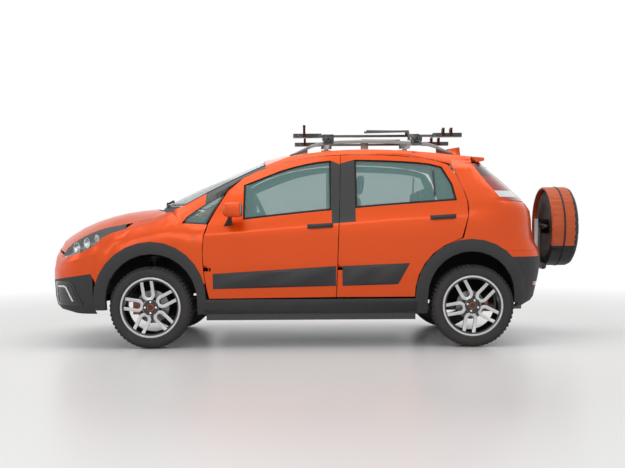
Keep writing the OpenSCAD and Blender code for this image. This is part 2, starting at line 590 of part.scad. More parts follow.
// Bonnet
bonnet_nose = [[0, -868], [230, -850], [440, -800], [556, -738]];
function bonnet_pt(s, v) =
    let (a = abs(v), x = mix(curve(556 * a, bonnet_nose), -50 + 182 * pow(a, 2.5), s),
         y = a * bonnet_y(mix(-738, 132, s)), k = min(y / max(bonnet_y(x), 1), 1), c = curve(x, bonnet_crown))
    [x, sign(v) * y, c - (c - curve(x, bonnet_side)) * pow(k, 3.5)];
bonnet_v = [-1, -0.93, -0.84, -0.7, -0.48, -0.24, 0, 0.24, 0.48, 0.7, 0.84, 0.93, 1];
bonnet_hinge = [140, 665, 1062];
bonnet_hinge_y = bonnet_hinge[1] * wide;
module bonnet() {
    s_list = [0, 0.04, 0.12, 0.25, 0.4, 0.55, 0.7, 0.85, 0.96, 1];
    rows = [for (s = s_list) [for (v = bonnet_v) bonnet_pt(s, v)]];
    inner = [for (s = s_list) [for (v = bonnet_v)
        let (p = bonnet_pt(clamp(s) * 0.94 + 0.04, v)) [p[0], p[1] * 0.94, p[2] - 16]]];
    color(orange) place() difference() {
        union() {
            panel(drawn([for (r = rows) [for (p = r) [p[0], p[1] * (1 - 7 / 690), p[2]]]]), drawn(inner));
            for (s = [-1, 1]) on(s)
                box([far_x(98), bonnet_hinge_y - 12, far_z(bonnet_hinge[2] - 14)],
                    [far_x(bonnet_hinge[0]) + 8, bonnet_hinge_y + 8, far_z(bonnet_hinge[2] + 5)]);
        }
        translate([far_x(bonnet_hinge[0]), 0, far_z(bonnet_hinge[2])])
            across(hinge_pin + run_fit, -700, 700);
    }
}

// Nose: body-colour upper bumper, black lower bumper with the intakes
nose_x = [-425.6, -460, -502, -545, -597, -661, -722, -745, -780, -812, -838, -856, -868, -873.5, -876];
function bumper_top(x) = x > -723 ? curve(x, lamp_low) - seam : curve(x, bonnet_side) - shut_gap - 2;
black_line = [[-876, 520], [-838, 527], [-678, 555], [-558, 571], [-460, 586], [-425.6, 520]];
function nose_grid(xs, low, high, ts, in = 0, drop = 0) =
    [for (t = ts) both([for (x = xs)
        let (z = mix(low(x), high(x), t), k = (plan_front - x) / nose_depth,
             xx = z < 600 ? plan_front - (plan_front - curve(z, nose)) * k : x,
             y = z < 600 ? min(curve(z, flank), flank_top) * super(k, nose_power) : half(x, z))
        at(xx + in * pow(clamp(k), 3), k > 0.999 ? 0 : max(y - in * (1 - pow(clamp(k), 8)), 1), z - drop * t)],
        -1)];
wall = 24;
module front_bumper() {
    low = function(x) lookup(x, black_line) + seam;
    high = function(x) bumper_top(x);
    ts = [0, 0.3, 0.75, 1];
    color(orange) place() panel(nose_grid(nose_x, low, high, ts),
                                nose_grid(nose_x, low, high, ts, wall, wall), [1, 2, 10, 18]);
}
skirt_z = 272;
module nose_cladding() {
    xs = concat([-447], [for (x = nose_x) if (x < -455) x]);
    low = function(x) skirt_z;
    high = function(x) lookup(x, black_line);
    ts = [0, 0.1, 0.24, 0.5, 0.78, 1];
    color(black) place() panel(nose_grid(xs, low, high, ts), nose_grid(xs, low, high, ts, wall), [2, 4, 10, 18]);
}
// Slats in the two intakes, each a strip just behind the nose's own surface
intake_x = [for (i = [10:14]) nose_x[i]];
function intake_pt(x, z) =
    let (k = (plan_front - x) / nose_depth)
    z < 600 ? [plan_front - (plan_front - curve(z, nose)) * k, curve(z, flank) * super(k, nose_power)]
    : let (low = lookup(x, black_line) + seam, high = bumper_top(x), z0 = mix(low, high, 0.3), z1 = mix(low, high, 0.75))
      [x, mix(half(x, z0), half(x, z1), (z - z0) / (z1 - z0))];
module slat(z) {
    edge = wall * (1 - pow((plan_front - intake_x[0]) / nose_depth, 8)) + 16;
    side = [for (i = [0:4]) let (p = intake_pt(intake_x[i], z))
            [far_x(p[0]), (i == 4 ? 0 : p[1] - (i == 0 ? edge : 0)) * wide]];
    pts = concat(side, [for (i = [3:-1:0]) [side[i][0], -side[i][1]]]);
    translate([0, 0, z]) linear_extrude(10) polygon(concat(
        [for (p = pts) p + [6, 0]], [for (i = [len(pts) - 1:-1:0]) pts[i] + [26, 0]]));
}
module front_grilles() {
    color(black) place() {
        for (z = [626, 655, 683]) slat(z);
        for (z = [344, 376, 408, 438]) slat(z);
        for (y = [-250, 0, 250]) {
            slab([y == 0 ? -866 : -860, y - 6, 627], [y == 0 ? -852 : -846, y + 6, 695]);
            slab([y == 0 ? -846 : -842, y - 6, 345], [y == 0 ? -832 : -826, y + 6, 447]);
            slab([-856, y - 5, 688], [-722 - rest, y + 5, 694]);
            slab([-836, y - 5, 420], [-722 - rest, y + 5, 430]);
        }
    }
}

// Headlamps in the corners of the nose, up to the bonnet's edge
lamp_x = [-722, -661, -597, -545, -502, -460, -425, -367, -320, -270, -205];
lamp_depth = 54;
module headlamps() {
    function rows(in) = [for (t = [0, 0.25, 0.5, 0.75, 1]) [for (x = lamp_x)
        let (z = mix(curve(x, lamp_low), curve(x, bonnet_side) - bonnet_gap, t))
        at(x, half(x, z) - in, z - in * 0.8 * t)]];
    color("#c9d2d4") place() for (s = [-1, 1]) on(s) panel(rows(0), rows(lamp_depth));
}

// Tail
lamp_in = [[1139, 600], [1200, 566], [1443, 482]];
module tail_lamps() {
    function rows(in) = [for (z = lamp_rows) [for (i = [0:7])
        let (a = curve(z, lamp_front), b = tail_x_at(curve(z, lamp_in), z), x = mix(a, b, 1 - pow(1 - i / 7, 1.4)))
        at(x - in * i / 7, half(x, z) - in * (1 - i / 7), z)]];
    color("#a01818") place() for (s = [-1, 1]) on(s) panel(rows(0), rows(40));
}
function tail_row(z, q0, in = 0) = both([for (q = concat(fan(q0, 50, 4), [tail_q_at((carrier_hinge_y + 50) / wide, z),
    tail_q_at((carrier_hinge_y - 50) / wide, z), 74, 82, 90])) let (p = tail_pt(z, q, in)) at(p[0], max(p[1], q > 89.9 ? 0 : 1), z)]);
function arch_back(z) =
    let (r = arch_rear[2] + 42, dz = max(z - arch_rear[1], 0)) drawn_wheelbase - 10 + sqrt(max(r * r - dz * dz, 0));
black_rear = 700;
module tail_cladding() {
    zs = [300, 340, 373, 406, 460, 520, 560, 640, black_rear - seam];
    color(black) place() panel([for (z = zs) tail_row(z, tail_q(arch_back(z), z))],
                               [for (z = zs) tail_row(z, tail_q(arch_back(z), z), wall)], [6, 7, 5, 6]);
}
gate_low = 800;
module rear_bumper() {
    function row(t, in) = [for (p = tail_row(mix(black_rear, 747, t), tail_q(arch_back(mix(black_rear, 747, t)),
                                                                         mix(black_rear, 747, t)), in)) p];
    function lip(z, in) = both([for (y = [gate_edge - 8, 500, 380, 250, 120, 0])
        let (p = tail_pt(z, tail_q_at(y, z), in)) at(p[0], y, z)]);
    color(orange) place() union() {
        panel([for (t = [0, 0.5, 1]) row(t, 0)], [for (t = [0, 0.5, 1]) row(t, wall)]);
        panel([for (z = [740, 765, gate_low - shut_gap]) lip(z, 0)],
              [for (z = [740, 765, gate_low - shut_gap]) lip(z, wall)]);
    }
}

// Tailgate with the spoiler along its top
gate_rows = [gate_low, 850, 920, 990, 1060, 1115, 1150, 1240, 1340, 1424, 1450, 1476];
glass_low = 6;
glass_high = 9;
function gate_y(z) = z < 1136 ? gate_edge - shut_gap : curve(z, lamp_in) - shut_gap;
gate_v = [1, 0.93, 0.75, 0.5, 0.25, 0];
function gate_row(z, in = 0) = both([for (v = gate_v)
    let (y = v * gate_y(z) - (in > 0 ? v * 12 : 0)) at(tail_x_at(v * gate_y(z), z) - in, y, z)]);
gate_depth = 46;
spoiler_y = 550;
function spoiler_ring(v) =
    let (y = v * spoiler_y, w = y / edge_y(2560), top = roof_pt(2566, w)[2], x0 = roof_back + shut_gap + 2 - 20 * w * w,
         x1 = 2705 - 46 * v * v)
    [at(x0, y, top), at(x1, y, top - 14 + 4 * v * v), at(x1, y, top - 34), at(x1 - 62, y, top - 66 + 20 * w * w),
     at(x0 + 6, y, top - 40)];
module tailgate() {
    color(orange) place() difference() {
        union() {
            panel([for (z = gate_rows) gate_row(z)], [for (z = gate_rows) gate_row(z, gate_depth)],
                  [glass_low, glass_high, 1, 2 * len(gate_v) - 3]);
            tube([for (v = [-1, -0.8, -0.5, 0, 0.5, 0.8, 1]) spoiler_ring(v)]);
        }
        for (s = [-1, 1]) {
            box([far_x(2550), s * gate_hinge[1] - 16, 1440],
                [far_x(gate_hinge[0]) + 14, s * gate_hinge[1] + 16, far_z(gate_hinge[2]) + 40]);
            translate([far_x(gate_hinge[0]), s * gate_hinge[1], far_z(gate_hinge[2])])
                across(hinge_pin + run_fit, -24, 24);
        }
    }
}
module tailgate_glass() {
    vs = [for (i = [1:len(gate_v) - 1]) gate_v[i]];
    function pane(in) = [for (i = [glass_low:glass_high]) let (z = gate_rows[i]) both([for (v = vs)
        let (k = i == glass_low ? seam : i == glass_high ? -seam : 0, p = tail_x_at(v * gate_y(z + k), z + k))
        at(p - in, max(v * gate_y(z + k) - (v == vs[0] ? 6 * seam : 0), 0), z + k)])];
    color("#9fb7b5") place() panel(pane(5), pane(5 + glass));
}

// Plastic bands round the arches and along the sill
band_gap = 2;
function flare_ring(r_in, w, x_of, z_of) =
    [for (p = [[0, -44], [0, 9], [14, cladding_proud], [0.44 * w, cladding_proud], [0.72 * w, cladding_proud - 1],
               [w, band_gap + 3], [w, band_gap], [0.72 * w, band_gap], [0.44 * w, band_gap], [21, band_gap],
               [21, -44]])
        let (x = x_of(r_in + p[0]), z = z_of(r_in + p[0])) at(x, half(x, z) + p[1], z)];
module flare(cx, cz, r, w0, w1, low0, low1) {
    rings = concat(
        [for (z = [low0, mix(low0, cz, 0.5)])
            flare_ring(r, w0, function(q) cx - q, function(q) z)],
        [for (i = [0:14]) let (a = 180 - i * 180 / 14, w = mix(w0, w1, smooth((i - 7) / 7)))
            flare_ring(r, w, function(q) cx + q * cos(a), function(q) cz + q * sin(a))],
        [for (z = [mix(low1, cz, 0.5), low1])
            flare_ring(r, w1, function(q) cx + q, function(q) z)]);
    tube(rings);
}
sill_low = 262;
sill_rows = [266, 282, 320, 354, 380];
module cladding(side) {
    x0 = arch_front[0] + arch_front[2] + flare_w - flare_lean - 8;
    x1 = arch_rear[0] - wheelbase + drawn_wheelbase - arch_rear[2] - flare_w + 8;
    xs = fan(x0, x1, 8);
    color(black) place() on(side) union() {
        flare(arch_front[0], arch_front[1], arch_front[2], flare_w, flare_w - flare_lean, 300, sill_low);
        flare(arch_rear[0] - wheelbase + drawn_wheelbase, arch_rear[1], arch_rear[2], flare_w, flare_w,
              sill_low, 340);
        panel([for (z = sill_rows) [for (x = xs)
                  at(x, half(x, z) + (z == sill_rows[0] || z == sill_rows[4] ? -2 : cladding_proud - 3), z)]],
              [for (z = sill_rows) [for (x = xs) at(x, sill_y + 36, z)]]);
    }
}

// Cowl under the windscreen, with two wiper arms
screen_lean = 0.54;
blade_gap = 0.4;
module cowl_wipers() {
    function base(v) = let (a = abs(v)) [-42 + 182 * pow(a, 2.5), 680 * v, 1062 - 16 * a * a];
    function top(v) = screen_pt(0, v) + [-6, 0, -glass - 5];
    vs = [-0.92, -0.75, -0.5, -0.25, 0, 0.25, 0.5, 0.75, 0.92];
    color(black) place() {
        panel([for (t = [0, 0.5, 1]) [for (v = vs) let (p = mix(base(v), top(v), t)) at(p[0], p[1], p[2])]],
              [for (t = [0, 0.5, 1]) [for (v = vs) let (p = mix(base(v), top(v), t)) at(p[0], p[1], p[2] - 12)]]);
        for (f = [[-0.55, -0.2], [0.2, 0.6]]) tube([for (t = [-0.12, -0.06, 0, 0.35, 0.7, 1])
            let (v = mix(f[0], f[1], t), p = screen_pt(t < 0 ? 0 : 0.025 + 0.05 * t, v),
                 lean = t < 0 ? 0 : screen_lean,
                 q = t < -0.1 ? [-14, -20] : t < 0 ? [-14, 10] : t < 1 ? [0, 7] : [0, blade_gap])
            [for (k = [[-7, 0], [7, 0], [7, 16], [-7, 16]])
                at(p[0] + k[0] + q[0], p[1], p[2] + k[1] + q[1] + lean * k[0])]]);
    }
}

// Floor, bulkheads and inner arches
module underbody() {
    color(orange) place() union() {
        difference() {
            slab([430, -689.6, floor_z], [1784, 689.6, floor_z + floor_t]);
            slab([420, -90, floor_z - 4], [1800, 90, floor_z + floor_t + 4]);
        }
        slab([434, -102, 302], [1778, 102, 318]);
        for (s = [-1, 1]) slab([434, s * 94 - 12, floor_z + 6], [1778, s * 94 + 12, 312]);
        slab([1770, -640, 306], [1794, 640, 350]);
        for (s = [-1, 1]) on(s) slab([1772, 92, floor_z + 8], [1792, 638, 310]);
        slab([1774, -644, 330], [2160, 644, 356]);
        slab([2140, -434, 336], [2170, 434, 412]);
        slab([2150, -440, 400], [2968, 440, 420]);
        slab([2870, -638, 404], [2972, 638, 424]);
        slab([2945, -516, 330], [2978, 516, 735]);
        slab([2947, -642, 416], [2976, 642, 733]);
        for (s = [-1, 1]) on(s) {
            slab([2106, 424, 340], [2955, 446, 784]);
            slab([2112, 430, 762], [2960, 634, 778]);
        }
        slab([402, -646, 305], [436, 646, 1006]);
        for (s = [-1, 1]) on(s) slab([404, 86, floor_z + 4], [435, 643, 311]);
        slab([334, -634, 984], [412, 634, 1002]);
        for (s = [-1, 1]) on(s) {
            slab([-700, 345, 400], [424, 395, 470]);
            slab([-704, 388, 408], [416, 412, 762]);
            slab([-130, 392, 740], [410, 410, 898]);
            slab([-126, 398, 890], [130, 645, 905]);
        }
        for (z = [404, 688]) slab([-722, -416, z], [-690, 416, z + 60]);
        for (y = [-408, 368]) slab([-718, y, 410], [-694, y + 40, 744]);
        box([far_x(2966), carrier_hinge_y - 40, 574], [far_x(3152), carrier_hinge_y + 26, 626]);
        translate([far_x(hinge_x), carrier_hinge_y, 572]) difference() {
            cylinder(r = 24, h = 56, $fn = 48);
            translate([0, 0, -1]) cylinder(r = hinge_r + run_fit, h = 58, $fn = 48);
        }
    }
}
hinge_x = 3170;
hinge_r = 12;

// Roof rails and the rack for bicycles
function rail_h(x) = rail_rise * smooth((x - 1070) / 260) * smooth((2430 - x) / 230);
rail_x = concat([1090, 1130, 1190, 1260, 1330], fan(1500, 2200, 4), [2270, 2340, 2400]);
rail_in = rail_y / wide;
rail_tops = [for (x = rail_x) [x, roof_pt(x, rail_in / edge_y(x))[2] + rail_h(x)]];
module roof_rails() {
    for (s = [-1, 1]) on(s) {
        color(grey) place() tube([for (f = rail_tops)
            let (x = f[0], z = f[1], w = rail_t / 2)
            [for (p = [[-w, -w], [-w, w - 5], [-w + 5, w], [w - 5, w], [w, w - 5], [w, -w]])
                at(x, rail_in + p[0] * 0.9, max(z + p[1], roof_pt(x, (rail_in + w) / edge_y(x))[2] + 6 + p[1] * 0.2))]]);
        color(black) place() for (f = [[1080, 1230], [2270, 2420], [1660, 1720]]) tube([for (x = fan(f[0], f[1], 3))
            let (w = rail_t / 2 + 1, z = roof_pt(x, rail_in / edge_y(x))[2])
            [at(x, rail_in - w, roof_pt(x, (rail_in - w) / edge_y(x))[2] + rest),
             at(x, rail_in - w, z + max(rail_h(x) - 8, 10)), at(x, rail_in + w - 6, z + max(rail_h(x) - 8, 8)),
             at(x, rail_in + w - 6, roof_pt(x, (rail_in + w - 6) / edge_y(x))[2] + rest)]]);
    }
}
bar_z = 1652;
tray_lift = 22;
// Strap over a bicycle's wheel, standing open on its tray
module strap(x, top) {
    w = tray_w / 2 + 5;
    for (e = [-1, 1]) box([far_x(x) + 2, e * w - 3, 10], [far_x(x) + 22, e * w + 3, top - 2]);
    box([far_x(x), -w - 5, top - 9], [far_x(x) + 24, w + 5, top]);
}
module roof_rack() {
    color(black) place() for (b = [front_bar_x, rear_bar_x]) {
        x = far_x(b);
        translate([x, 0, far_z(bar_z)]) scale([1.5, 1, 0.85]) across(rail_t / 2, -rail_y - 44, rail_y + 44);
        for (s = [-1, 1]) on(s) {
            top = far_z(max(lookup(b - 45, rail_tops), lookup(b + 45, rail_tops)) + rail_t / 2) + rest;
            box([x - 45, rail_y - 24, top], [x + 45, rail_y + 24, far_z(bar_z) + 14]);
            box([x - 40, rail_y + rail_t / 2 + 2, top - 26], [x + 40, rail_y + rail_t / 2 + 12, top + 6]);
        }
    }
    for (y = [-carrier_y, carrier_y]) place() translate([0, y, far_z(bar_z) + 11.2 + tray_lift]) {
        color(grey) {
            box([far_x(1345), -tray_w / 4, 3], [far_x(2480), tray_w / 4, 22]);
        }
        color(black) {
            for (x = [front_bar_x, rear_bar_x])
                box([far_x(x) - 48, -tray_w / 2 - 6, -tray_lift - 1], [far_x(x) + 48, tray_w / 2 + 6, 26]);
            for (f = [[1110, 1346], [2270, 2510]]) {
                box([far_x(f[0]), -tray_w / 2, 0], [far_x(f[1]), tray_w / 2, 8]);
                for (e = [-1, 1]) box([far_x(f[0]), e * tray_w / 2 - 3, 0], [far_x(f[1]), e * tray_w / 2 + 3, 34]);
            }
            strap(1190, 104);
            for (x = [2345, 2410]) strap(x, 76);
            translate([far_x(1700), -tray_w / 2, 34]) rotate([0, -1.2, 0]) cube([370, 16, 16]);
            box([far_x(2040), -tray_w / 2, 20], [far_x(2075), tray_w / 2, 48]);
        }
    }
}

// Cabin
module seats() {
    color("#3a3b3f") place() {
        for (y = [-350, 350]) translate([0, y, 0]) {
            tube([for (f = [[-250, 30], [-228, 0], [228, 0], [250, 30]])
                [at(1090 + f[1], f[0], 540), at(1090 + f[1], f[0], 640 - f[1]), at(1140, f[0], 668 - f[1]),
                 at(1480, f[0], 640 - f[1]), at(1560, f[0], 640 - f[1]), at(1560, f[0], 520)]]);
            tube([for (f = [[-240, 24], [-205, 0], [205, 0], [240, 24]])
                [at(1480 + f[1], f[0], 600), at(1500 + f[1], f[0], 900), at(1590 + f[1], f[0], 1190 - f[1]),
                 at(1672, f[0], 1180 - f[1]), at(1610, f[0], 900), at(1570, f[0], 560)]]);
            tube([for (f = [[-135, 26], [-110, 0], [110, 0], [135, 26]])
                [at(1612 + f[1] / 2, f[0], 1180 + f[1]), at(1640 + f[1] / 2, f[0], 1370 - f[1]),
                 at(1694, f[0], 1350 - f[1]), at(1686, f[0], 1175 + f[1])]]);
            slab([1150, -180, floor_z + floor_t + rest], [1500, 180, 545]);
        }
        tube([for (f = [[-600, 30], [-570, 0], [570, 0], [600, 30]])
            [at(1812 + f[1], f[0], 356 + rest), at(1800 + f[1], f[0], 540), at(1850, f[0], 565 - f[1]),
             at(2096, f[0], 540), at(2104, f[0], 356 + rest)]]);
        tube([for (f = [[-640, 30], [-610, 0], [-430, 0]]) [at(2060 + f[1], f[0], 786), at(2150 + f[1], f[0], 1130),
             at(2240, f[0], 1120), at(2240, f[0], 786)]]);
        tube([for (f = [[430, 0], [610, 0], [640, 30]]) [at(2060 + f[1], f[0], 786), at(2150 + f[1], f[0], 1130),
             at(2240, f[0], 1120), at(2240, f[0], 786)]]);
        tube([for (y = [-420, 0, 420]) [at(2000, y, 520), at(2145, y, 1130), at(2240, y, 1120), at(2240, y, 790),
             at(2136, y, 440)]]);
        slab([2070, -440, 790], [2232, 440, 840]);
        for (y = [-350, 0, 350]) tube([for (f = [[-120, 20], [-98, 0], [98, 0], [120, 20]])
            [at(2166, y + f[0], 1122), at(2174, y + f[0], 1262 - f[1]), at(2232, y + f[0], 1250 - f[1]),
             at(2238, y + f[0], 1112)]]);
    }
}
// The driver sits on the right. The hood's face is square to the steering column
wheel_tilt = 25;
wheel_y = 350;
column = 84;
function hood(u, v) = [far_x(741) + u * cos(wheel_tilt) - v * sin(wheel_tilt), wheel_y,
                       far_z(1044) + u * sin(wheel_tilt) + v * cos(wheel_tilt)];
module dashboard() {
    color("#2c2d30") place() {
        tube([for (f = [[-640, 40, 0], [-592, 0, 0], [-90, 0, 0], [180, 0, 0], [216, 0, 1], [484, 0, 1], [520, 0, 0],
                        [592, 0, 0], [640, 40, 0]])
            let (d = f[1], top = hood(-45, 86), face = [hood(0, 44), hood(0, -44)])
            [at(436.3, f[0], 770), at(436.3, f[0], 975), at(470, f[0], 1020 - d),
             f[2] > 0 ? [top[0], f[0], top[2]] : at(640, f[0], 1048 - d),
             f[2] > 0 ? [face[0][0], f[0], face[0][2]] : at(745 - d, f[0], 1010 - d),
             f[2] > 0 ? [face[1][0], f[0], face[1][2]] : at(750 - d, f[0], 965),
             at(762 - d, f[0], 900), at(700 - d, f[0], 770)]]);
        slab([436.3, -110, floor_z + floor_t + 62], [742, 110, 800]);
    }
}
module steering_wheel() {
    color(black) place() translate(hood(column, 0)) rotate([0, 90 - wheel_tilt, 0]) {
        rotate_extrude($fn = 56) translate([171, 0]) circle(r = 14, $fn = 14);
        translate([0, 0, -12]) cylinder(r = 62, h = 26, $fn = 32);
        for (a = [0, 90, 180]) rotate([0, 0, a + 90]) translate([40, -14, -5]) cube([130, 28, 10]);
        rotate([180, 0, 0]) cylinder(r = 24, h = column - rest, $fn = 32);
    }
}

// Running gear
rail_low = 400;
module engine_block() {
    color(grey) place() slab([-330, -320, 328], [160, 320, 760]);
}
ball_y = 655;
ball_z = 230;
top_y = 560;
top_z = 900;
module front_subframe() {
    color(black) place() union() {
        slab([50, -400, 232], [260, 400, 328 - rest]);
        for (x = [70, 220], s = [-1, 1]) on(s) slab([x, 350, 300], [x + 30, 390, rail_low - rest]);
        for (s = [-1, 1]) on(s) {
            hull() {
                translate([160, 395, 232]) cylinder(r = 30, h = 22, $fn = 24);
                translate([0, ball_y, 222]) cylinder(r = 20, h = 16, $fn = 24);
            }
            hull() {
                translate([60, 395, 232]) cylinder(r = 14, h = 22, $fn = 24);
                translate([0, ball_y, 222]) cylinder(r = 20, h = 16, $fn = 24);
            }
            kingpin() translate([0, 0, -2]) cylinder(r = ball_r, h = 60, $fn = 32);
        }
    }
}
function king_lean() = atan((ball_y - top_y) / (top_z - ball_z));
module kingpin() { translate([0, ball_y, ball_z]) rotate([king_lean(), 0, 0]) children(); }
ball_r = 10;
module knuckle(side) {
    color("#3c3e41") place() on(side) difference() {
        union() {
            translate([0, 0, hub_z]) across(48, 600, 664);
            translate([0, 0, hub_z]) across(spindle_r, 660, 716);
            kingpin() {
                translate([0, 0, 16]) cylinder(r = 20, h = 480, $fn = 32);
                translate([0, 0, 448]) cylinder(r = 62, h = 8, $fn = 32);
                for (i = [0:4]) translate([0, 0, 464 + 38 * i]) cylinder(r = 54, h = 22, $fn = 32);
                translate([0, 0, 300]) cylinder(r = 14, h = 355, $fn = 32);
            }
            box([-14, 560, hub_z - 50], [100, 612, hub_z - 28]);
            box([-13, 561, hub_z - 49], [13, 640, hub_z - 20]);
            difference() {
                union() {
                    box([-152, 668, hub_z - 60], [-92, 732, hub_z + 60]);
                    box([-130, 640, hub_z - 26], [-30, 664, hub_z + 26]);
                    box([-129, 650, hub_z - 25], [-100, 672, hub_z + 25]);
                }
                translate([0, 0, hub_z]) across(disc_d / 2 + 4, brake_y - disc_t / 2 - 5, brake_y + disc_t / 2 + 5);
            }
        }
        kingpin() translate([0, 0, -30]) cylinder(r = ball_r + run_fit, h = 96, $fn = 32);
    }
}
brake_y = 700;
module rear_axle() {
    color(black) place() translate([rear_x, 0, 0]) union() {
        translate([-80, 0, 300]) across(32, -570, 570);
        for (s = [-1, 1]) on(s) {
            hull() {
                translate([-420, 560, 290]) rotate([90, 0, 0]) cylinder(r = 26, h = 50, center = true, $fn = 32);
                translate([-80, 560, 300]) rotate([90, 0, 0]) cylinder(r = 30, h = 50, center = true, $fn = 32);
            }
            hull() {
                translate([-80, 560, 300]) rotate([90, 0, 0]) cylinder(r = 30, h = 50, center = true, $fn = 32);
                translate([0, 590, hub_z]) rotate([90, 0, 0]) cylinder(r = 40, h = 50, center = true, $fn = 32);
            }
            translate([0, 0, hub_z]) across(50, 580, 664);
            translate([0, 0, hub_z]) across(spindle_r, 660, 716);
            translate([-95, 370, 300]) cylinder(r = 50, h = rail_low - 300 - rest, $fn = 40);
        }
    }
}
module exhaust_tank() {
    color("#55575a") place() union() {
        slab([1800, -420, 222], [2130, -62, 329.7]);
        slab([1900, -70, 230], [1960, 6, 252]);
        translate([far_x(300), 0, 240]) rotate([0, 90, 0]) cylinder(r = 20, h = far_x(2680) - far_x(300), $fn = 32);
        hull() for (y = [-210, 210]) translate([far_x(2660), y, 275])
            rotate([0, 90, 0]) cylinder(r = 52, h = 230, $fn = 40);
        translate([far_x(2880), -210, 262]) rotate([0, 90, 0]) cylinder(r = 20, h = 150, $fn = 32);
    }
}

// Wheels
module tyre(x, side) {
    r0 = rim_d / 2 + rest;
    r1 = tyre_d / 2;
    w = tyre_w / 2;
    b = rim_w / 2 - 6 - rest;
    color("#1c1c1e") place() on(side) translate([x, half_track, hub_z]) rotate([90, 0, 0])
        rotate_extrude($fn = 80) polygon([[r0, -b], [r0 + 12, -b], [r0 + 16, -w + 8], [r0 + 46, -w], [r1 - 30, -w + 4],
            [r1 - 8, -w + 15], [r1, -w + 30], [r1, -34], [r1 - 7, -32], [r1 - 7, -26], [r1, -24],
            [r1, 24], [r1 - 7, 26], [r1 - 7, 32], [r1, 34], [r1, w - 30], [r1 - 8, w - 15], [r1 - 30, w - 4],
            [r0 + 46, w], [r0 + 16, w - 8], [r0 + 12, b], [r0, b]]);
}
face_y = 812;
module rim(x, side, front) {
    r = rim_d / 2;
    w = rim_w / 2;
    out = face_y - half_track;
    color(silver) place() on(side) translate([x, half_track, hub_z]) rotate([-90, 0, 0]) union() {
        rotate_extrude($fn = 80) polygon([[r - 24, -w + 12], [r - 12, -w], [r + 12, -w], [r + 12, -w + 5],
            [r, -w + 6], [r, w - 6], [r + 12, w - 5], [r + 12, w], [r - 2, w], [r - 14, w - 6], [r - 16, w - 26],
            [r - 16, 0], [r - 24, -8]]);
        difference() {
            union() {
                translate([0, 0, -46]) cylinder(r = 70, h = 58, $fn = 48);
                translate([0, 0, 0]) cylinder(r = 62, h = out, $fn = 48);
                translate([0, 0, out - 24]) for (i = [0:spokes - 1]) rotate([0, 0, i * 360 / spokes]) loop_spoke(r - 10);
                translate([0, 0, brake_y - half_track - disc_t / 2])
                    cylinder(r = front ? disc_d / 2 : 112, h = disc_t, $fn = 72);
            }
            translate([0, 0, -47]) cylinder(r = spindle_r + run_fit, h = 47 + 0.1, $fn = 48);
        }
    }
}
// Spoke shaped as a loop with its closed end at the hub
module loop_spoke(reach) {
    loop = 38;
    mid = 104;
    difference() {
        union() {
            translate([mid, 0, 0]) cylinder(r = loop + spoke_leg / 2, h = 22, $fn = 40);
            translate([mid, -loop - spoke_leg / 2, 0]) cube([reach - mid, 2 * loop + spoke_leg, 22]);
        }
        translate([mid, 0, -1]) cylinder(r = loop - spoke_leg / 2, h = 24, $fn = 40);
        translate([mid, -loop + spoke_leg / 2, -1]) cube([reach, 2 * loop - spoke_leg, 24]);
    }
}

// Spare wheel on its swing-out carrier
module spare_cover() {
    r = cover_r;
    d = cover_depth;
    w = cover_wall;
    seat = spare_r + rest;
    color(orange) place() translate([spare_front, 0, spare_z]) rotate([0, 90, 0]) rotate_extrude($fn = 96)
        polygon([[seat, 0], [r - 8, 0], [r, 10], [r, d - 46], [r - 12, d - 20], [r - 40, d - 4], [r - 80, d], [0, d],
                 [0, d - w], [r - 80, d - w], [r - 42, d - 11], [r - 18, d - 26], [r - w, d - 48], [r - w, 94],
                 [seat, 80]]);
}
spare_r = tyre_d / 2;
spare_in = 20;
module spare_wheel() {
    r = spare_r;
    color("#1c1c1e") place() translate([spare_front + spare_in, 0, spare_z]) rotate([0, 90, 0]) union() {
        rotate_extrude($fn = 80) polygon([[32.05, 30], [150, 30], [206, 8], [r - 62, 0], [r - 12, 14], [r, 34],
            [r, 156], [r - 12, 176], [r - 62, 190], [206, 182], [150, 52], [32.05, 52]]);
    }
}
module spare_arm() {
    hx = far_x(hinge_x);
    tx = spare_front - 32;
    tz = 600;
    color("#1d1e20") place() union() {
        translate([hx, carrier_hinge_y, 540]) cylinder(r = hinge_r, h = 120, $fn = 48);
        for (z = [542, 628.4]) box([hx - 14, carrier_hinge_y - 26, z], [tx + 10, carrier_hinge_y + 14, z + 29]);
        box([tx - 6, carrier_hinge_y - 60, 542], [tx + 20, carrier_hinge_y + 14, 657]);
        translate([tx + 4, 0, tz]) across(arm_r, -150, carrier_hinge_y - 10);
        box([tx - 14, -60, tz], [tx + 12, 60, spare_z + 66]);
        translate([tx, 0, spare_z]) rotate([0, 90, 0]) {
            cylinder(r = 64, h = 32 + spare_in + 30 - rest, $fn = 48);
            cylinder(r = 32, h = 32 + spare_in + 60, $fn = 48);
        }
    }
}

// Each node, drawn alone or all together
underbody();
side_frame(-1);  // side_frame_left
side_frame(1);  // side_frame_right
roof_skin();
fixed_glass();
cowl_wipers();
fender(-1);  // fender_left
fender(1);  // fender_right
front_bumper();
rear_bumper();
cladding(-1);  // cladding_left
cladding(1);  // cladding_right
nose_cladding();  // cladding_front
tail_cladding();  // cladding_rear
front_grilles();
headlamps();
tail_lamps();
roof_rails();
roof_rack();
seats();
dashboard();
steering_wheel();
engine_block();
front_subframe();
rear_axle();
exhaust_tank();
bonnet();
door_front(-1);  // door_front_left
door_front(1);  // door_front_right
door_rear(-1);  // door_rear_left
door_rear(1);  // door_rear_right
place() door_glass(front_rows(), -1);  // glass_front_left
place() door_glass(front_rows(), 1);  // glass_front_right
place() door_glass(rear_rows(), -1);  // glass_rear_left
place() door_glass(rear_rows(), 1);  // glass_rear_right
trim_front(-1);  // trim_front_left
trim_front(1);  // trim_front_right
trim_rear(-1);  // trim_rear_left
trim_rear(1);  // trim_rear_right
tailgate();
tailgate_glass();
spare_arm();
spare_wheel();
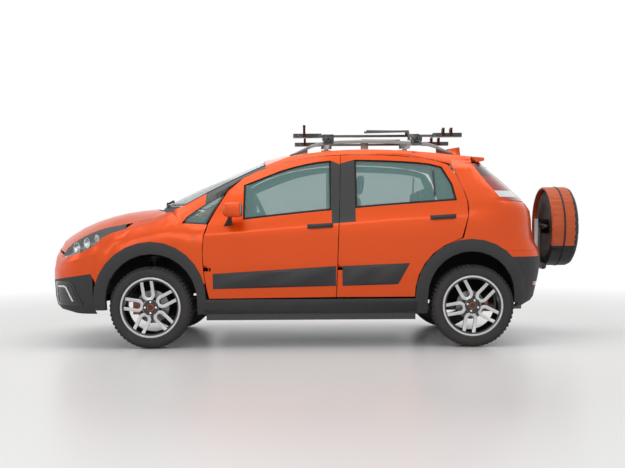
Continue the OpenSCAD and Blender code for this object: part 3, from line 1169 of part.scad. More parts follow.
spare_cover();
knuckle(-1);  // knuckle_left
knuckle(1);  // knuckle_right
tyre(0, -1);  // tyre_front_left
tyre(0, 1);  // tyre_front_right
tyre(rear_x, -1);  // tyre_rear_left
tyre(rear_x, 1);  // tyre_rear_right
rim(0, -1, true);  // rim_front_left
rim(0, 1, true);  // rim_front_right
rim(rear_x, -1, false);  // rim_rear_left
rim(rear_x, 1, false);  // rim_rear_right
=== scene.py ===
import json
import math

import bmesh
import bpy
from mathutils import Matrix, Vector


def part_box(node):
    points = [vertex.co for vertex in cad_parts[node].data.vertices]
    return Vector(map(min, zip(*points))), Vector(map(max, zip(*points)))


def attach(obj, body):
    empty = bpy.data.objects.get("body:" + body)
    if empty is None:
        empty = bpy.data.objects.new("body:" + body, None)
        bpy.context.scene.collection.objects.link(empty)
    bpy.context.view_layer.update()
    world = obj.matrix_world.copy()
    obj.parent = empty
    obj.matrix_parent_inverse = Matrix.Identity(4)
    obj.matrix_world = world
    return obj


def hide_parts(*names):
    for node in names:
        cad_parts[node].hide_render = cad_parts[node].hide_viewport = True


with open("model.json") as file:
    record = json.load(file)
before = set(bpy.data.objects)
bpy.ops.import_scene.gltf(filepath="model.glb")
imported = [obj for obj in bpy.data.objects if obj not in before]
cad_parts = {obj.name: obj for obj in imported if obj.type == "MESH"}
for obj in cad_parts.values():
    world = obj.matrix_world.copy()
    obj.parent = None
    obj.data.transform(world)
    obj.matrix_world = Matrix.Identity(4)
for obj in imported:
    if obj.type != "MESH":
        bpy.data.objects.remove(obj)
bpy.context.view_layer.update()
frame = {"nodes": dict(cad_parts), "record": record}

bl_info = {
    "name": "Crossover Car",
    "version": (1, 0, 0),
    "blender": (4, 5, 0),
    "location": "3D Viewport > Sidebar > Crossover",
    "description": "Dresses the packed crossover car: paint, trim, wheels, lamps, cabin, roof load and spare",
    "category": "Object",
}

RECORD = frame["record"]
BODY_OF = {node: body for body, nodes in RECORD["behaviour"]["bodies"].items() for node in nodes}


def middle(node):
    """Centre of a CAD node's box in metres."""
    low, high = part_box(node)
    return (Vector(low) + Vector(high)) / 2


AXLE_X = middle("tyre_front_left").x * 1000
WHEELBASE = middle("tyre_rear_left").x * 1000 - AXLE_X
HUB_Y = abs(middle("tyre_front_left").y) * 1000
HUB_Z = middle("tyre_front_left").z * 1000


def at(x, y, z):
    """Millimetres behind the front axle, to the right and up, as a point in the frame."""
    return Vector(((x + AXLE_X) / 1000, y / 1000, z / 1000))


def linear(red, green, blue):
    """A colour read from a screen, 0 to 255, as Blender's linear colour."""
    def one(value):
        value /= 255
        return value / 12.92 if value <= 0.04045 else ((value + 0.055) / 1.055) ** 2.4
    return (one(red), one(green), one(blue), 1.0)


# Shader maths


class Wire:
    """A value in a material's node tree that can stand in a Python expression."""

    def __init__(self, finish, socket):
        self.finish = finish
        self.socket = socket

    def maths(self, operation, *values):
        return self.finish.node("ShaderNodeMath", {"operation": operation}, dict(enumerate(values)))

    def __add__(self, other):
        return self.maths("ADD", self, other)

    def __radd__(self, other):
        return self.maths("ADD", other, self)

    def __sub__(self, other):
        return self.maths("SUBTRACT", self, other)

    def __rsub__(self, other):
        return self.maths("SUBTRACT", other, self)

    def __mul__(self, other):
        return self.maths("MULTIPLY", self, other)

    def __rmul__(self, other):
        return self.maths("MULTIPLY", other, self)

    def __truediv__(self, other):
        return self.maths("DIVIDE", self, other)

    def __pow__(self, other):
        return self.maths("POWER", self, other)

    def above(self, level):
        return self.maths("GREATER_THAN", self, level)

    def sine(self):
        return self.maths("SINE", self)


def socket_name(key):
    """coat_weight as the Principled shader writes it, Coat Weight."""
    return key.replace("_", " ").title().replace("Ior", "IOR")


class Finish:
    """One material: a Principled shader, and the nodes that vary it over the surface."""

    def __init__(self, name, colour, roughness, metallic=0.0, **constants):
        self.material = bpy.data.materials.new(name)
        self.material.use_nodes = True
        self.tree = self.material.node_tree
        self.shader = self.tree.nodes["Principled BSDF"]
        self.material.diffuse_color = colour
        self.put(self.shader, {"Base Color": colour, "Roughness": roughness, "Metallic": metallic})
        self.put(self.shader, {socket_name(key): value for key, value in constants.items()})

    def put(self, node, values):
        for key, value in values.items():
            socket = node.inputs[key]
            if isinstance(value, Wire):
                self.tree.links.new(value.socket, socket)
            else:
                socket.default_value = value

    def node(self, kind, settings=None, values=None, output=0):
        """Adds any node: its settings first, then its sockets, and gives one output."""
        node = self.tree.nodes.new(kind)
        for key, value in (settings or {}).items():
            if key == "stops":
                for place, colour in value:
                    stop = node.color_ramp.elements.new(place)
                    stop.color = colour
                for spare in (node.color_ramp.elements[-1], node.color_ramp.elements[0]):
                    node.color_ramp.elements.remove(spare)
            else:
                setattr(node, key, value)
        self.put(node, values or {})
        return Wire(self, node.outputs[output])

    def place(self):
        """The point on the surface, in the object's own coordinates."""
        return self.node("ShaderNodeTexCoord", output="Object")

    def split(self, vector):
        parts = self.node("ShaderNodeSeparateXYZ", None, {0: vector})
        outputs = parts.socket.node.outputs
        return [Wire(self, outputs[i]) for i in range(3)]

    def noise(self, scale, detail=2.0, rough=0.5, vector=None):
        return self.node("ShaderNodeTexNoise", None, {"Vector": vector or self.place(), "Scale": scale,
                                                      "Detail": detail, "Roughness": rough})

    def grain(self, scale, vector=None, feature="F1"):
        return self.node("ShaderNodeTexVoronoi", {"feature": feature}, {"Vector": vector or self.place(),
                                                                        "Scale": scale})

    def between(self, factor, low, high):
        """A colour that runs from low to high."""
        return self.node("ShaderNodeMix", {"data_type": "RGBA"}, {0: factor, 6: low, 7: high}, output=2)

    def span(self, factor, low, high):
        """A number that runs from low to high as factor runs from 0 to 1."""
        return self.node("ShaderNodeMapRange", None, {"Value": factor, "To Min": low, "To Max": high})

    def bump(self, height, strength, distance=0.001):
        normal = self.node("ShaderNodeBump", None, {"Height": height, "Strength": strength, "Distance": distance})
        self.put(self.shader, {"Normal": normal})

    def vary(self, **values):
        self.put(self.shader, {socket_name(key): value for key, value in values.items()})


def shade(colour, factor):
    """The same colour, lighter or darker."""
    return tuple(min(channel * factor, 1.0) for channel in colour[:3]) + (1.0,)


def car_paint(name, colour):
    """Solid paint under clear coat, with fine flakes and a faint film of dust low down."""
    finish = Finish(name, colour, 0.36, 0.55, coat_weight=0.35, coat_roughness=0.04, specular_ior_level=0.3)
    flakes = finish.grain(2600.0)
    height = finish.split(finish.place())[2]
    dust = finish.span(height, 1.0, 0.0)
    finish.put(dust.socket.node, {"From Min": 0.25, "From Max": 0.75})
    patches = finish.noise(3.0, 4.0) * dust
    base = finish.between(flakes * 0.22, colour, shade(colour, 0.9))
    finish.vary(base_color=finish.between(patches * 0.05, base, linear(150, 110, 80)),
                roughness=finish.span(patches, 0.34, 0.48))
    return finish.material


def moulded_plastic(name, colour, roughness=0.62, scale=420.0, strength=0.35):
    """Moulded plastic with a leather-like grain and a slightly uneven tone."""
    finish = Finish(name, colour, roughness)
    pebble = finish.grain(scale)
    cloud = finish.noise(9.0, 5.0)
    finish.vary(base_color=finish.between(cloud, shade(colour, 0.82), shade(colour, 1.28)),
                roughness=finish.span(finish.noise(60.0, 3.0), roughness - 0.08, roughness + 0.1))
    finish.bump(pebble + finish.noise(scale * 2.2, 2.0) * 0.5, strength, 0.0006)
    return finish.material


def smooth_plastic(name, colour, roughness=0.18):
    """Polished plastic or lacquer with soft swirl marks."""
    finish = Finish(name, colour, roughness, coat_weight=0.6, coat_roughness=0.04)
    cloud = finish.noise(14.0, 4.0)
    finish.vary(base_color=finish.between(cloud, shade(colour, 0.85), shade(colour, 1.2)),
                roughness=finish.span(finish.noise(90.0, 3.0), roughness * 0.75, roughness * 1.4))
    return finish.material


def bare_metal(name, colour, roughness=0.3, scratch=260.0, metallic=0.95):
    """Metal with fine scratches and uneven polish."""
    finish = Finish(name, colour, roughness, metallic)
    lines = finish.noise(scratch, 3.0, 0.7)
    cloud = finish.noise(18.0, 4.0)
    finish.vary(base_color=finish.between(cloud, shade(colour, 0.86), shade(colour, 1.1)),
                roughness=finish.span(lines, roughness * 0.75, roughness * 1.35))
    finish.bump(lines, 0.06, 0.0004)
    return finish.material


def turned_metal(name, colour):
    """A brake disc's face, with rings from the lathe round either axle."""
    finish = Finish(name, colour, 0.32, 0.9)
    along, _, up = finish.split(finish.place())
    nearest = None
    for centre in (0.0, WHEELBASE):
        dx = along - at(centre, 0, 0).x
        dz = up - HUB_Z / 1000
        radius = (dx * dx + dz * dz) ** 0.5
        nearest = radius if nearest is None else nearest.maths("MINIMUM", nearest, radius)
    rings = (nearest * 2600.0).sine() * 0.5 + 0.5
    finish.vary(roughness=finish.span(rings, 0.24, 0.4),
                base_color=finish.between(rings, shade(colour, 0.85), shade(colour, 1.08)))
    finish.bump(rings, 0.15, 0.0004)
    return finish.material


def tyre_rubber(name, colour):
    """Tyre rubber: matt, with patches of dust and a fine grain all over."""
    finish = Finish(name, colour, 0.72)
    cloud = finish.noise(22.0, 5.0)
    dust = finish.noise(5.0, 3.0)
    finish.vary(base_color=finish.between(dust * 0.35, finish.between(cloud, shade(colour, 0.8), shade(colour, 1.2)),
                                          linear(84, 78, 72)),
                roughness=finish.span(cloud, 0.62, 0.85))
    finish.bump(finish.noise(700.0, 3.0), 0.25, 0.0005)
    return finish.material


def pane_glass(name, colour, alpha, roughness=0.02):
    """Tinted pane that shows what is behind it, with a faint haze of dust."""
    finish = Finish(name, colour, roughness, coat_weight=0.5, coat_roughness=0.01)
    haze = finish.noise(6.0, 4.0)
    finish.vary(alpha=finish.span(haze, alpha * 0.93, alpha * 1.07),
                roughness=finish.span(finish.noise(40.0, 3.0), roughness, roughness + 0.03))
    return finish.material


def lens(name, colour, alpha, ribs=0.0):
    """Moulded lamp lens, fluted inside where ribs is above 0."""
    finish = Finish(name, colour, 0.06, coat_weight=1.0, coat_roughness=0.02)
    cloud = finish.noise(30.0, 3.0)
    finish.vary(base_color=finish.between(cloud, shade(colour, 0.9), shade(colour, 1.1)),
                alpha=finish.span(cloud, alpha * 0.96, alpha))
    if ribs:
        up = finish.split(finish.place())[2]
        finish.bump((up * ribs).sine(), 0.3, 0.001)
    return finish.material


def woven_cloth(name, colour, second):
    """Seat cloth: a fine square weave in two yarns with a soft sheen."""
    finish = Finish(name, colour, 0.88, sheen_weight=0.35, sheen_roughness=0.5)
    x, y, z = finish.split(finish.place())
    weave = (x * 2300.0).sine() * (y * 2300.0).sine() + (z * 2300.0).sine() * (y * 2300.0).sine()
    mask = weave * 0.25 + 0.5
    finish.vary(base_color=finish.between(mask, colour, second),
                roughness=finish.span(finish.noise(30.0, 3.0), 0.8, 0.95))
    finish.bump(mask, 0.5, 0.0006)
    return finish.material


FINISHES = {}


def make_finishes(colours):
    """Every material of the car, made once from the colours in the panel."""
    FINISHES.update(
        paint=car_paint("body_paint", colours.paint),
        plastic=moulded_plastic("grained_black_plastic", colours.plastic),
        moulding=moulded_plastic("door_moulding_plastic", shade(colours.plastic, 0.8), 0.5, 700.0, 0.2),
        gloss_black=smooth_plastic("gloss_black", linear(17, 17, 19)),
        seal=moulded_plastic("rubber_seal", linear(15, 15, 16), 0.8, 900.0, 0.15),
        satin_black=smooth_plastic("satin_black", linear(26, 26, 28), 0.4),
        liner=moulded_plastic("wheel_arch_liner", linear(16, 16, 17), 0.9, 90.0, 0.6),
        sealer=moulded_plastic("underbody_sealer", linear(30, 29, 29), 0.85, 60.0, 0.8),
        glass=pane_glass("teal_glass", colours.glass, 0.36),
        clear=lens("clear_lens", linear(232, 238, 240), 0.16),
        red=lens("red_lens", linear(164, 14, 18), 0.92, 700.0),
        red_deep=lens("dark_red_lens", linear(86, 8, 12), 0.96, 0.0),
        amber=lens("amber_lens", linear(226, 118, 30), 0.9, 500.0),
        white_lens=lens("white_lens", linear(236, 238, 240), 0.97, 600.0),
        reflector=bare_metal("lamp_reflector", linear(214, 217, 220), 0.12, 60.0),
        silver=bare_metal("machined_alloy", colours.alloy, 0.26, 420.0, 0.75),
        wheel_black=smooth_plastic("wheel_black", linear(20, 20, 22), 0.3),
        disc=turned_metal("brake_disc_iron", linear(128, 126, 124)),
        caliper=smooth_plastic("copper_caliper", linear(176, 92, 52), 0.35),
        rubber=tyre_rubber("tyre_rubber", linear(40, 40, 42)),
        rail=bare_metal("anodised_rail", linear(138, 136, 134), 0.42, 300.0, 0.7),
        chrome=bare_metal("bright_metal", linear(222, 222, 224), 0.12, 90.0),
        iron=bare_metal("dark_steel", linear(60, 60, 62), 0.5, 120.0, 0.7),
        steel=bare_metal("exhaust_steel", linear(112, 108, 102), 0.45, 80.0, 0.8),
        cloth=woven_cloth("seat_cloth", linear(46, 47, 51), linear(78, 79, 84)),
        bolster=woven_cloth("seat_bolster_cloth", linear(31, 32, 35), linear(44, 45, 49)),
        cabin=moulded_plastic("cabin_plastic", linear(44, 45, 49), 0.7, 800.0, 0.25),
        lining=moulded_plastic("pale_lining", linear(146, 144, 138), 0.85, 600.0, 0.3),
        screen=smooth_plastic("instrument_glass", linear(12, 13, 16), 0.08),
        mirror=bare_metal("mirror_glass", linear(205, 210, 214), 0.03, 30.0),
        cover_orange=moulded_plastic("spare_cover_orange", colours.cover, 0.5, 900.0, 0.12),
        cover_black=moulded_plastic("spare_cover_black", linear(20, 19, 21), 0.55, 600.0, 0.25),
        blank=smooth_plastic("blank_plate", linear(228, 229, 226), 0.35),
    )


def copy_of(node, name):
    """A merged copy of a CAD node's mesh, on no body yet."""
    source = frame["nodes"][node]
    piece = source.copy()
    piece.data = source.data.copy()
    piece.name = name
    bpy.context.scene.collection.objects.link(piece)
    piece.hide_viewport = piece.hide_render = False
    piece.hide_set(False)
    piece.parent = None
    piece.matrix_world.identity()
    edit(piece)
    bpy.ops.mesh.select_all(action="SELECT")
    bpy.ops.mesh.remove_doubles(threshold=0.00002)
    bpy.ops.mesh.select_all(action="DESELECT")
    return piece


def surface(node, x, z, sign):
    """The point where a line from the side meets a CAD node, and the normal there."""
    hit, point, normal, _ = SKINS[node].ray_cast(Vector((x, 1.5 * sign, z)), Vector((0, -sign, 0)))
    if not hit:
        raise RuntimeError("nothing of %s at %.3f, %.3f" % (node, x, z))
    return point, normal


def laid(name, outline, target, finish, body, sign=0, lift=0.0, thick=0.003, cell=0.04, ring=0.0, facing="Y",
         **more):
    """A thin piece cut to an outline and laid on a piece's surface, from the side, from above or along X.

    outline holds (x, z) in millimetres for facing Y, (x, y) for Z and (y, z) for X, and ring leaves only a rim.
    """
    away = {"Y": Vector((0, 1.5 * sign, 0)), "Z": Vector((0, 0, 2.5)), "X": Vector((3.5 * sign, 0, 0))}[facing]
    flat = [{"Y": lambda a, b: Vector((at(a, 0, 0).x, 0, b / 1000)),
             "Z": lambda a, b: Vector((at(a, 0, 0).x, b / 1000, 0)),
             "X": lambda a, b: Vector((0, a / 1000, b / 1000))}[facing](*pair) + away for pair in outline]
    piece = trace(name, flat)
    bpy.ops.mesh.select_all(action="SELECT")
    bpy.ops.mesh.edge_face_add()
    bpy.ops.object.mode_set(mode="OBJECT")
    only(piece)
    bpy.ops.object.transform_apply(location=True, rotation=True, scale=True)
    edit(piece)
    mesh = bmesh.from_edit_mesh(piece.data)
    mesh.faces.ensure_lookup_table()
    wrong = mesh.faces[0].normal.dot(away) < 0
    bpy.ops.mesh.select_all(action="SELECT")
    if wrong:
        bpy.ops.mesh.flip_normals()
    if ring:
        bpy.ops.mesh.inset(thickness=ring)
        bpy.ops.mesh.delete(type="FACE")
    for axis in range(3):
        if abs(away[axis]) > 0.1:
            continue
        low = min(point[axis] for point in flat)
        high = max(point[axis] for point in flat)
        count = int((high - low) / cell)
        across = Vector([1.0 if i == axis else 0.0 for i in range(3)])
        for step in range(1, count + 1):
            bpy.ops.mesh.select_all(action="SELECT")
            cut = Vector(across) * (low + (high - low) * step / (count + 1))
            bpy.ops.mesh.bisect(plane_co=cut, plane_no=across)
    bpy.ops.object.mode_set(mode="OBJECT")
    wrap = piece.modifiers.new("Lay", "SHRINKWRAP")
    wrap.target = target
    wrap.wrap_method = "PROJECT"
    wrap.use_project_x, wrap.use_project_y, wrap.use_project_z = (facing == c for c in "XYZ")
    wrap.use_negative_direction = wrap.use_positive_direction = True
    wrap.offset = lift
    only(piece)
    bpy.ops.object.modifier_apply(modifier=wrap.name)
    if any((corner.co - away).dot(away) > -0.01 for corner in piece.data.vertices):
        raise RuntimeError(name + " runs past the piece it lies on")
    body_shell = piece.modifiers.new("Thickness", "SOLIDIFY")
    body_shell.thickness = thick
    body_shell.offset = 1.0
    bpy.ops.object.modifier_apply(modifier=body_shell.name)
    return finished(piece, finish, body, **more)


SKINS = {}


def seal_round(node, body, facing, finish="seal"):
    """Black rubber round a pane, standing on the pane's edge."""
    piece = copy_of(node, "seal_" + node)
    facing = Vector(facing).normalized()
    pick(piece, lambda centre, normal: normal.dot(facing) < 0.35)
    bpy.ops.mesh.delete(type="FACE")
    bpy.ops.mesh.select_all(action="SELECT")
    bpy.ops.mesh.inset(thickness=bpy.context.scene.crossover_sizes.seal_width, use_boundary=True)
    bpy.ops.mesh.delete(type="FACE")
    bpy.ops.object.mode_set(mode="OBJECT")
    only(piece)
    depth = piece.modifiers.new("Thickness", "SOLIDIFY")
    depth.thickness = 0.006
    depth.offset = 1.0
    bpy.ops.object.modifier_apply(modifier=depth.name)
    return finished(piece, finish, body, bevel=0.0012)


def add_window_trim():
    def one(side, sign):
        for end in ("front", "rear"):
            seal_round("glass_%s_%s" % (end, side), "door_%s_%s" % (end, side), (0, sign, 0))
        laid("quarter_divider_" + side, [(2222, 1176), (2236, 1176), (2236, 1415), (2222, 1415)],
             SKINS["glass_rear_" + side], "gloss_black", "door_rear_" + side, sign, thick=0.005, cell=0.05,
             bevel=0.001)
    sides(one)
    seal_round("tailgate_glass", "tailgate", (1, 0, 0.4), "gloss_black")
    seal_round("fixed_glass", "body", (-0.4, 0, 0.9), "gloss_black")


# Wheels


def tread(name, hub, sign, body):
    """Five rows of blocks round a tyre, each row one block spun as copies."""
    depth = bpy.context.scene.crossover_sizes.tread_depth
    rows = ((-0.084, 0.026, 0.3, 54), (-0.046, 0.030, 0.12, 60), (0.0, 0.034, -0.12, 60), (0.046, 0.030, 0.12, 60),
            (0.084, 0.026, 0.3, 54))
    joined = []
    for place, width, turn, count in rows:
        deselect()
        shoulder = abs(place) > 0.08
        drop = 0.0045 if shoulder else 0.0
        bpy.ops.mesh.primitive_cube_add(size=1, location=hub + Vector((0, place, HUB_Z / 1000 - depth / 2 - 0.0011 - drop)))
        row = bpy.context.object
        bpy.ops.transform.resize(value=(0.021, width, depth + 0.002))
        only(row)
        bpy.ops.object.transform_apply(location=True, rotation=True, scale=True)
        edit(row)
        pick(row, lambda centre, normal: normal.z > 0.9)
        bpy.ops.transform.resize(value=(0.9, 0.94, 1))
        bpy.ops.mesh.select_all(action="SELECT")
        bpy.ops.mesh.spin(steps=count, angle=2 * math.pi, center=hub, axis=(0, 1, 0), dupli=True)
        bpy.ops.object.mode_set(mode="OBJECT")
        joined.append(row)
    only(joined[0])
    for row in joined:
        row.select_set(True)
    bpy.ops.object.join()
    piece = bpy.context.object
    piece.name = name
    return finished(piece, "rubber", body, angle=30.0)


def tyre(name, hub, body, node):
    """The carcass with its bead, wall ribs and rounded shoulder."""
    half = [(0.0825, 0.2235), (0.0832, 0.2335), (0.0905, 0.2385), (0.0975, 0.2460), (0.1005, 0.2500), (0.1005, 0.2530),
            (0.0990, 0.2550), (0.1012, 0.2640), (0.1018, 0.2730), (0.1010, 0.2742), (0.1010, 0.2760), (0.1016, 0.2772),
            (0.1002, 0.2860), (0.0972, 0.2950), (0.0955, 0.2958), (0.0952, 0.2980), (0.0962, 0.2990), (0.0925, 0.3050),
            (0.0860, 0.3102), (0.0760, 0.3132), (0.0600, 0.3138)]
    profile = half + [(0.0, 0.3140)] + [(-along, radius) for along, radius in reversed(half)]
    return spun(name, profile, hub, (0, 1, 0), "rubber", body, steps=96, angle=28.0, stands_for=(node,))


def add_wheel_details():
    turns = {"front": math.radians(45.0), "rear": math.radians(26.7)}
    along = {"front": 0.0, "rear": WHEELBASE}

    def one(side, sign):
        for end in ("front", "rear"):
            wheel = "wheel_%s_%s" % (end, side)
            hub = at(along[end], sign * HUB_Y, HUB_Z)
            tyre("tyre_%s_%s_carcass" % (end, side), hub, wheel, "tyre_%s_%s" % (end, side))
            tread("tyre_%s_%s_tread" % (end, side), hub, sign, wheel)
            face = hub + Vector((0, sign * (0.812 - HUB_Y / 1000), 0))
            out = Vector((0, sign, 0))
            spun("hub_cap_%s_%s" % (end, side), [(0.0, 0.0), (0.0035, 0.0), (0.005, 0.010), (0.005, 0.017),
                                                 (0.0038, 0.0185), (0.0, 0.0205)],
                 face, out, "satin_black", wheel, steps=48)
            spun("hub_ring_%s_%s" % (end, side), [(0.0, 0.0205), (0.0055, 0.0215), (0.0062, 0.0235), (0.0055, 0.0262),
                                                  (0.0, 0.0275)],
                 face, out, "cover_orange", wheel, steps=48)
            spun("hub_dish_%s_%s" % (end, side), [(0.0, 0.0275), (0.0028, 0.0285), (0.0028, 0.056), (0.0, 0.0605)],
                 face, out, "wheel_black", wheel, steps=48)
            for bolt in range(4):
                turn = turns[end] + math.radians(45 + 90 * bolt)
                spot = face + Vector((0.043 * math.cos(turn), 0, 0.043 * math.sin(turn)))
                spun("wheel_bolt_%s_%s_%d" % (end, side, bolt + 1),
                     [(0.0, 0.0), (0.0075, 0.0), (0.0082, 0.004), (0.0070, 0.0085), (0.0, 0.0095)],
                     spot, out, "chrome", wheel, steps=6, angle=20.0)
            turn = turns[end] + math.radians(36)
            foot = hub + Vector((0.204 * math.cos(turn), sign * 0.060, 0.204 * math.sin(turn)))
            tube("valve_%s_%s" % (end, side), [foot, foot + Vector((-0.012 * math.cos(turn), sign * 0.028,
                                                                    -0.012 * math.sin(turn)))],
                 0.0042, "satin_black", wheel)
        rear = at(WHEELBASE + 118, sign * 700, HUB_Z)

        def shape(piece):
            pick(piece, lambda centre, normal: abs(normal.y) > 0.9)
            bpy.ops.transform.resize(value=(0.8, 1, 0.8))
        block("rear_caliper_" + side, rear - Vector((0.026, 0.030, 0.050)), rear + Vector((0.026, 0.030, 0.050)),
              "caliper", "body", bevel=0.008, segments=3, tune=shape)
    sides(one)


# Lamps and nose


def add_lamps():
    nose = SKINS["cladding_front"]

    def one(side, sign):
        for number, (x, z, radius, finish) in enumerate(((-608, 786, 40, "reflector"), (-512, 822, 36, "reflector"),
                                                         (-424, 862, 24, "reflector"))):
            spot, normal = surface("headlamps", at(x, 0, 0).x, z / 1000, sign)
            facing = Vector((-0.62, sign * 0.78, 0)).normalized()
            centre = spot - Vector((normal.x, normal.y, 0)).normalized() * 0.040
            r = radius / 1000
            spun("lamp_bowl_%s_%d" % (side, number + 1),
                 [(-0.006, 0.0), (-0.004, r * 0.35), (0.004, r * 0.7), (0.020, r), (0.023, r), (0.023, r + 0.004),
                  (0.006, r * 0.8), (-0.006, r * 0.4), (-0.009, 0.0)],
                 centre, facing, "reflector", "body", steps=40, angle=40.0)
            spun("lamp_bulb_%s_%d" % (side, number + 1),
                 [(-0.003, 0.0), (-0.003, r * 0.30), (0.007, r * 0.34), (0.014, r * 0.22), (0.017, 0.0)],
                 centre, facing, "amber" if number == 2 else "chrome", "body", steps=32, angle=40.0)
        laid("fog_bezel_" + side, [(-781, 520), (-749, 528), (-637, 527), (-605, 506), (-526, 338), (-765, 338)],
             nose, "gloss_black", "body", sign, thick=0.004, cell=0.03, bevel=0.001)
        laid("fog_frame_" + side, [(-766, 503), (-748, 510), (-648, 510), (-622, 494), (-558, 352), (-756, 352)],
             nose, "satin_black", "body", sign, lift=0.004, thick=0.004, cell=0.03, ring=0.010, bevel=0.001)
        laid("day_lamp_" + side, [(-757, 492), (-690, 495), (-664, 486), (-604, 372), (-616, 368), (-672, 474),
                                  (-694, 482), (-757, 479)],
             nose, "white_lens", "body", sign, lift=0.004, thick=0.004, cell=0.02, bevel=0.0008)
        laid("fog_slat_" + side, [(-756, 430), (-655, 430), (-650, 420), (-756, 420)],
             nose, "satin_black", "body", sign, lift=0.004, thick=0.005, cell=0.03, bevel=0.001)
        laid("side_repeater_" + side, [(330, 838), (368, 842), (366, 858), (332, 854)],
             SKINS["fender_" + side], "amber", "body", sign, lift=0.0, thick=0.003, cell=0.02, bevel=0.0012)
        laid("bumper_reflector_" + side, [(3000, 470), (3056, 470), (3050, 500), (3004, 500)],
             SKINS["cladding_rear"], "red", "body", sign, thick=0.004, cell=0.02, bevel=0.001)
    sides(one)
    laid("skid_plate", [(-330, 286), (330, 286), (300, 326), (-300, 326)], nose, "rail", "body",
         -1, lift=0.0, thick=0.004, cell=0.05, facing="X", bevel=0.001)


def add_tail():
    laid("stop_lamp", [(-130, 1462), (130, 1462), (124, 1474), (-124, 1474)], SKINS["tailgate"], "red", "tailgate",
         1, lift=0.0, thick=0.003, cell=0.04, facing="X", bevel=0.0008)
    laid("rear_skid", [(-300, 318), (300, 318), (330, 372), (-330, 372)], SKINS["cladding_rear"], "rail", "body",
         1, lift=0.0, thick=0.004, cell=0.05, facing="X", bevel=0.001)


# Cabin


def cushion(name, low, high, lean, finish, body, crown=0.10, bolster=0.0, channels=0, squareness=5.0):
    """A crowned, sewn pad between two corners in millimetres, leaning back by lean along its height."""
    deselect()
    bpy.ops.mesh.primitive_cube_add(size=2, location=(0, 0, 0))
    piece = bpy.context.object
    piece.name = name
    edit(piece)
    bpy.ops.mesh.select_all(action="SELECT")
    bpy.ops.mesh.subdivide(number_cuts=15)
    bpy.ops.object.mode_set(mode="OBJECT")
    low, high = at(*low), at(*high)
    centre, half = (low + high) / 2, (high - low) / 2
    upright = half.z > half.x
    for corner in piece.data.vertices:
        u, v, w = corner.co
        length = (abs(u) ** squareness + abs(v) ** squareness + abs(w) ** squareness) ** (1 / squareness)
        u, v, w = u / length, v / length, w / length
        along, rise = (w, -u) if upright else (u, w)
        lift = 0.0
        if rise > 0.3:
            lift = crown * (1 - along * along) * (1 - v * v) + bolster * max(0.0, (abs(v) - 0.62) / 0.38) ** 1.4 * 0.9
            for line in range(channels):
                place = -0.7 + 1.4 * line / max(channels - 1, 1)
                lift -= 0.10 * math.exp(-((along - place) / 0.045) ** 2) * (1 if abs(v) < 0.62 else 0)
            lift -= bolster * 0.8 * math.exp(-((abs(v) - 0.62) / 0.05) ** 2)
        if upright:
            u -= lift * 0.8
        else:
            w += lift * 0.8
        top = 1 + (crown + bolster) * 0.8
        if upright:
            u = u / top if u < 0 else u
        else:
            w = w / top if w > 0 else w
        corner.co = (centre.x + u * half.x + lean * w * half.z, centre.y + v * half.y, centre.z + w * half.z)
    only(piece)
    rounder = piece.modifiers.new("Soft", "SUBSURF")
    rounder.levels = rounder.render_levels = 1
    bpy.ops.object.modifier_apply(modifier=rounder.name)
    outward(piece)
    finished(piece, finish, body, angle=60.0)
    return piece


def add_seats():
    first = None
    for place, y in (("left", -350), ("right", 350)):
        seat = cushion("seat_cushion_" + place, (1095, y - 245, 548), (1560, y + 245, 664), 0.0, "cloth", "body",
                       bolster=0.22, channels=4)
        first = first or seat
        cushion("seat_back_" + place, (1500, y - 236, 590), (1640, y + 236, 1186), 0.13, "cloth", "body",
                bolster=0.30, channels=5)
        cushion("head_restraint_" + place, (1622, y - 132, 1212), (1692, y + 132, 1366), 0.1, "bolster", "body",
                squareness=3.6)
        for post in (-52, 52):
            tube("restraint_post_%s_%s" % (place, "inner" if post > 0 else "outer"),
                 [at(1640, y + post, 1160), at(1655, y + post, 1236)], 0.006, "chrome", "body")
        block("seat_frame_" + place, at(1150, y - 180, 262), at(1500, y + 180, 552), "cabin", "body", bevel=0.012)
        block("seat_skirt_" + place, at(1120, y - 236, 520), at(1540, y + 236, 566), "satin_black", "body",
              bevel=0.014, segments=3)
    cushion("bench_cushion", (1808, -598, 400), (2098, 598, 562), 0.0, "cloth", "body", bolster=0.0, channels=3,
            squareness=7.0)
    cushion("bench_back_middle", (2040, -418, 520), (2180, 418, 1124), 0.17, "cloth", "body", channels=4,
            squareness=8.0)
    for place, sign in (("left", -1), ("right", 1)):
        cushion("bench_back_" + place, (2090, min(sign * 428, sign * 636), 792),
                (2215, max(sign * 428, sign * 636), 1122), 0.12, "bolster", "body", squareness=6.0)
    for place, y in (("left", -350), ("middle", 0), ("right", 350)):
        cushion("bench_restraint_" + place, (2160, y - 116, 1128), (2236, y + 116, 1256), 0.06, "bolster", "body",
                squareness=3.6)
    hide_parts("seats")


def add_dashboard():
    for number, y in enumerate((-545, -60, 90, 566)):
        block("air_vent_%d" % (number + 1), at(738, y - 46, 976), at(749, y + 46, 1004), "gloss_black", "body",
              bevel=0.004)
        for slat in range(3):
            block("vent_slat_%d_%d" % (number + 1, slat + 1), at(742, y - 40, 981 + 8 * slat),
                  at(751, y + 40, 983 + 8 * slat), "chrome", "body", bevel=0.0008)
    block("centre_screen", at(740, -75, 900), at(764, 95, 960), "screen", "body", bevel=0.004)
    for dial, y in enumerate((290, 410)):
        spun("dial_%d" % (dial + 1), [(0.0, 0.0), (0.004, 0.0), (0.005, 0.036), (0.009, 0.040), (0.0, 0.042)],
             at(741, y, 1044), (1, 0, 0), "screen", "body", steps=40)


# Roof load and spare


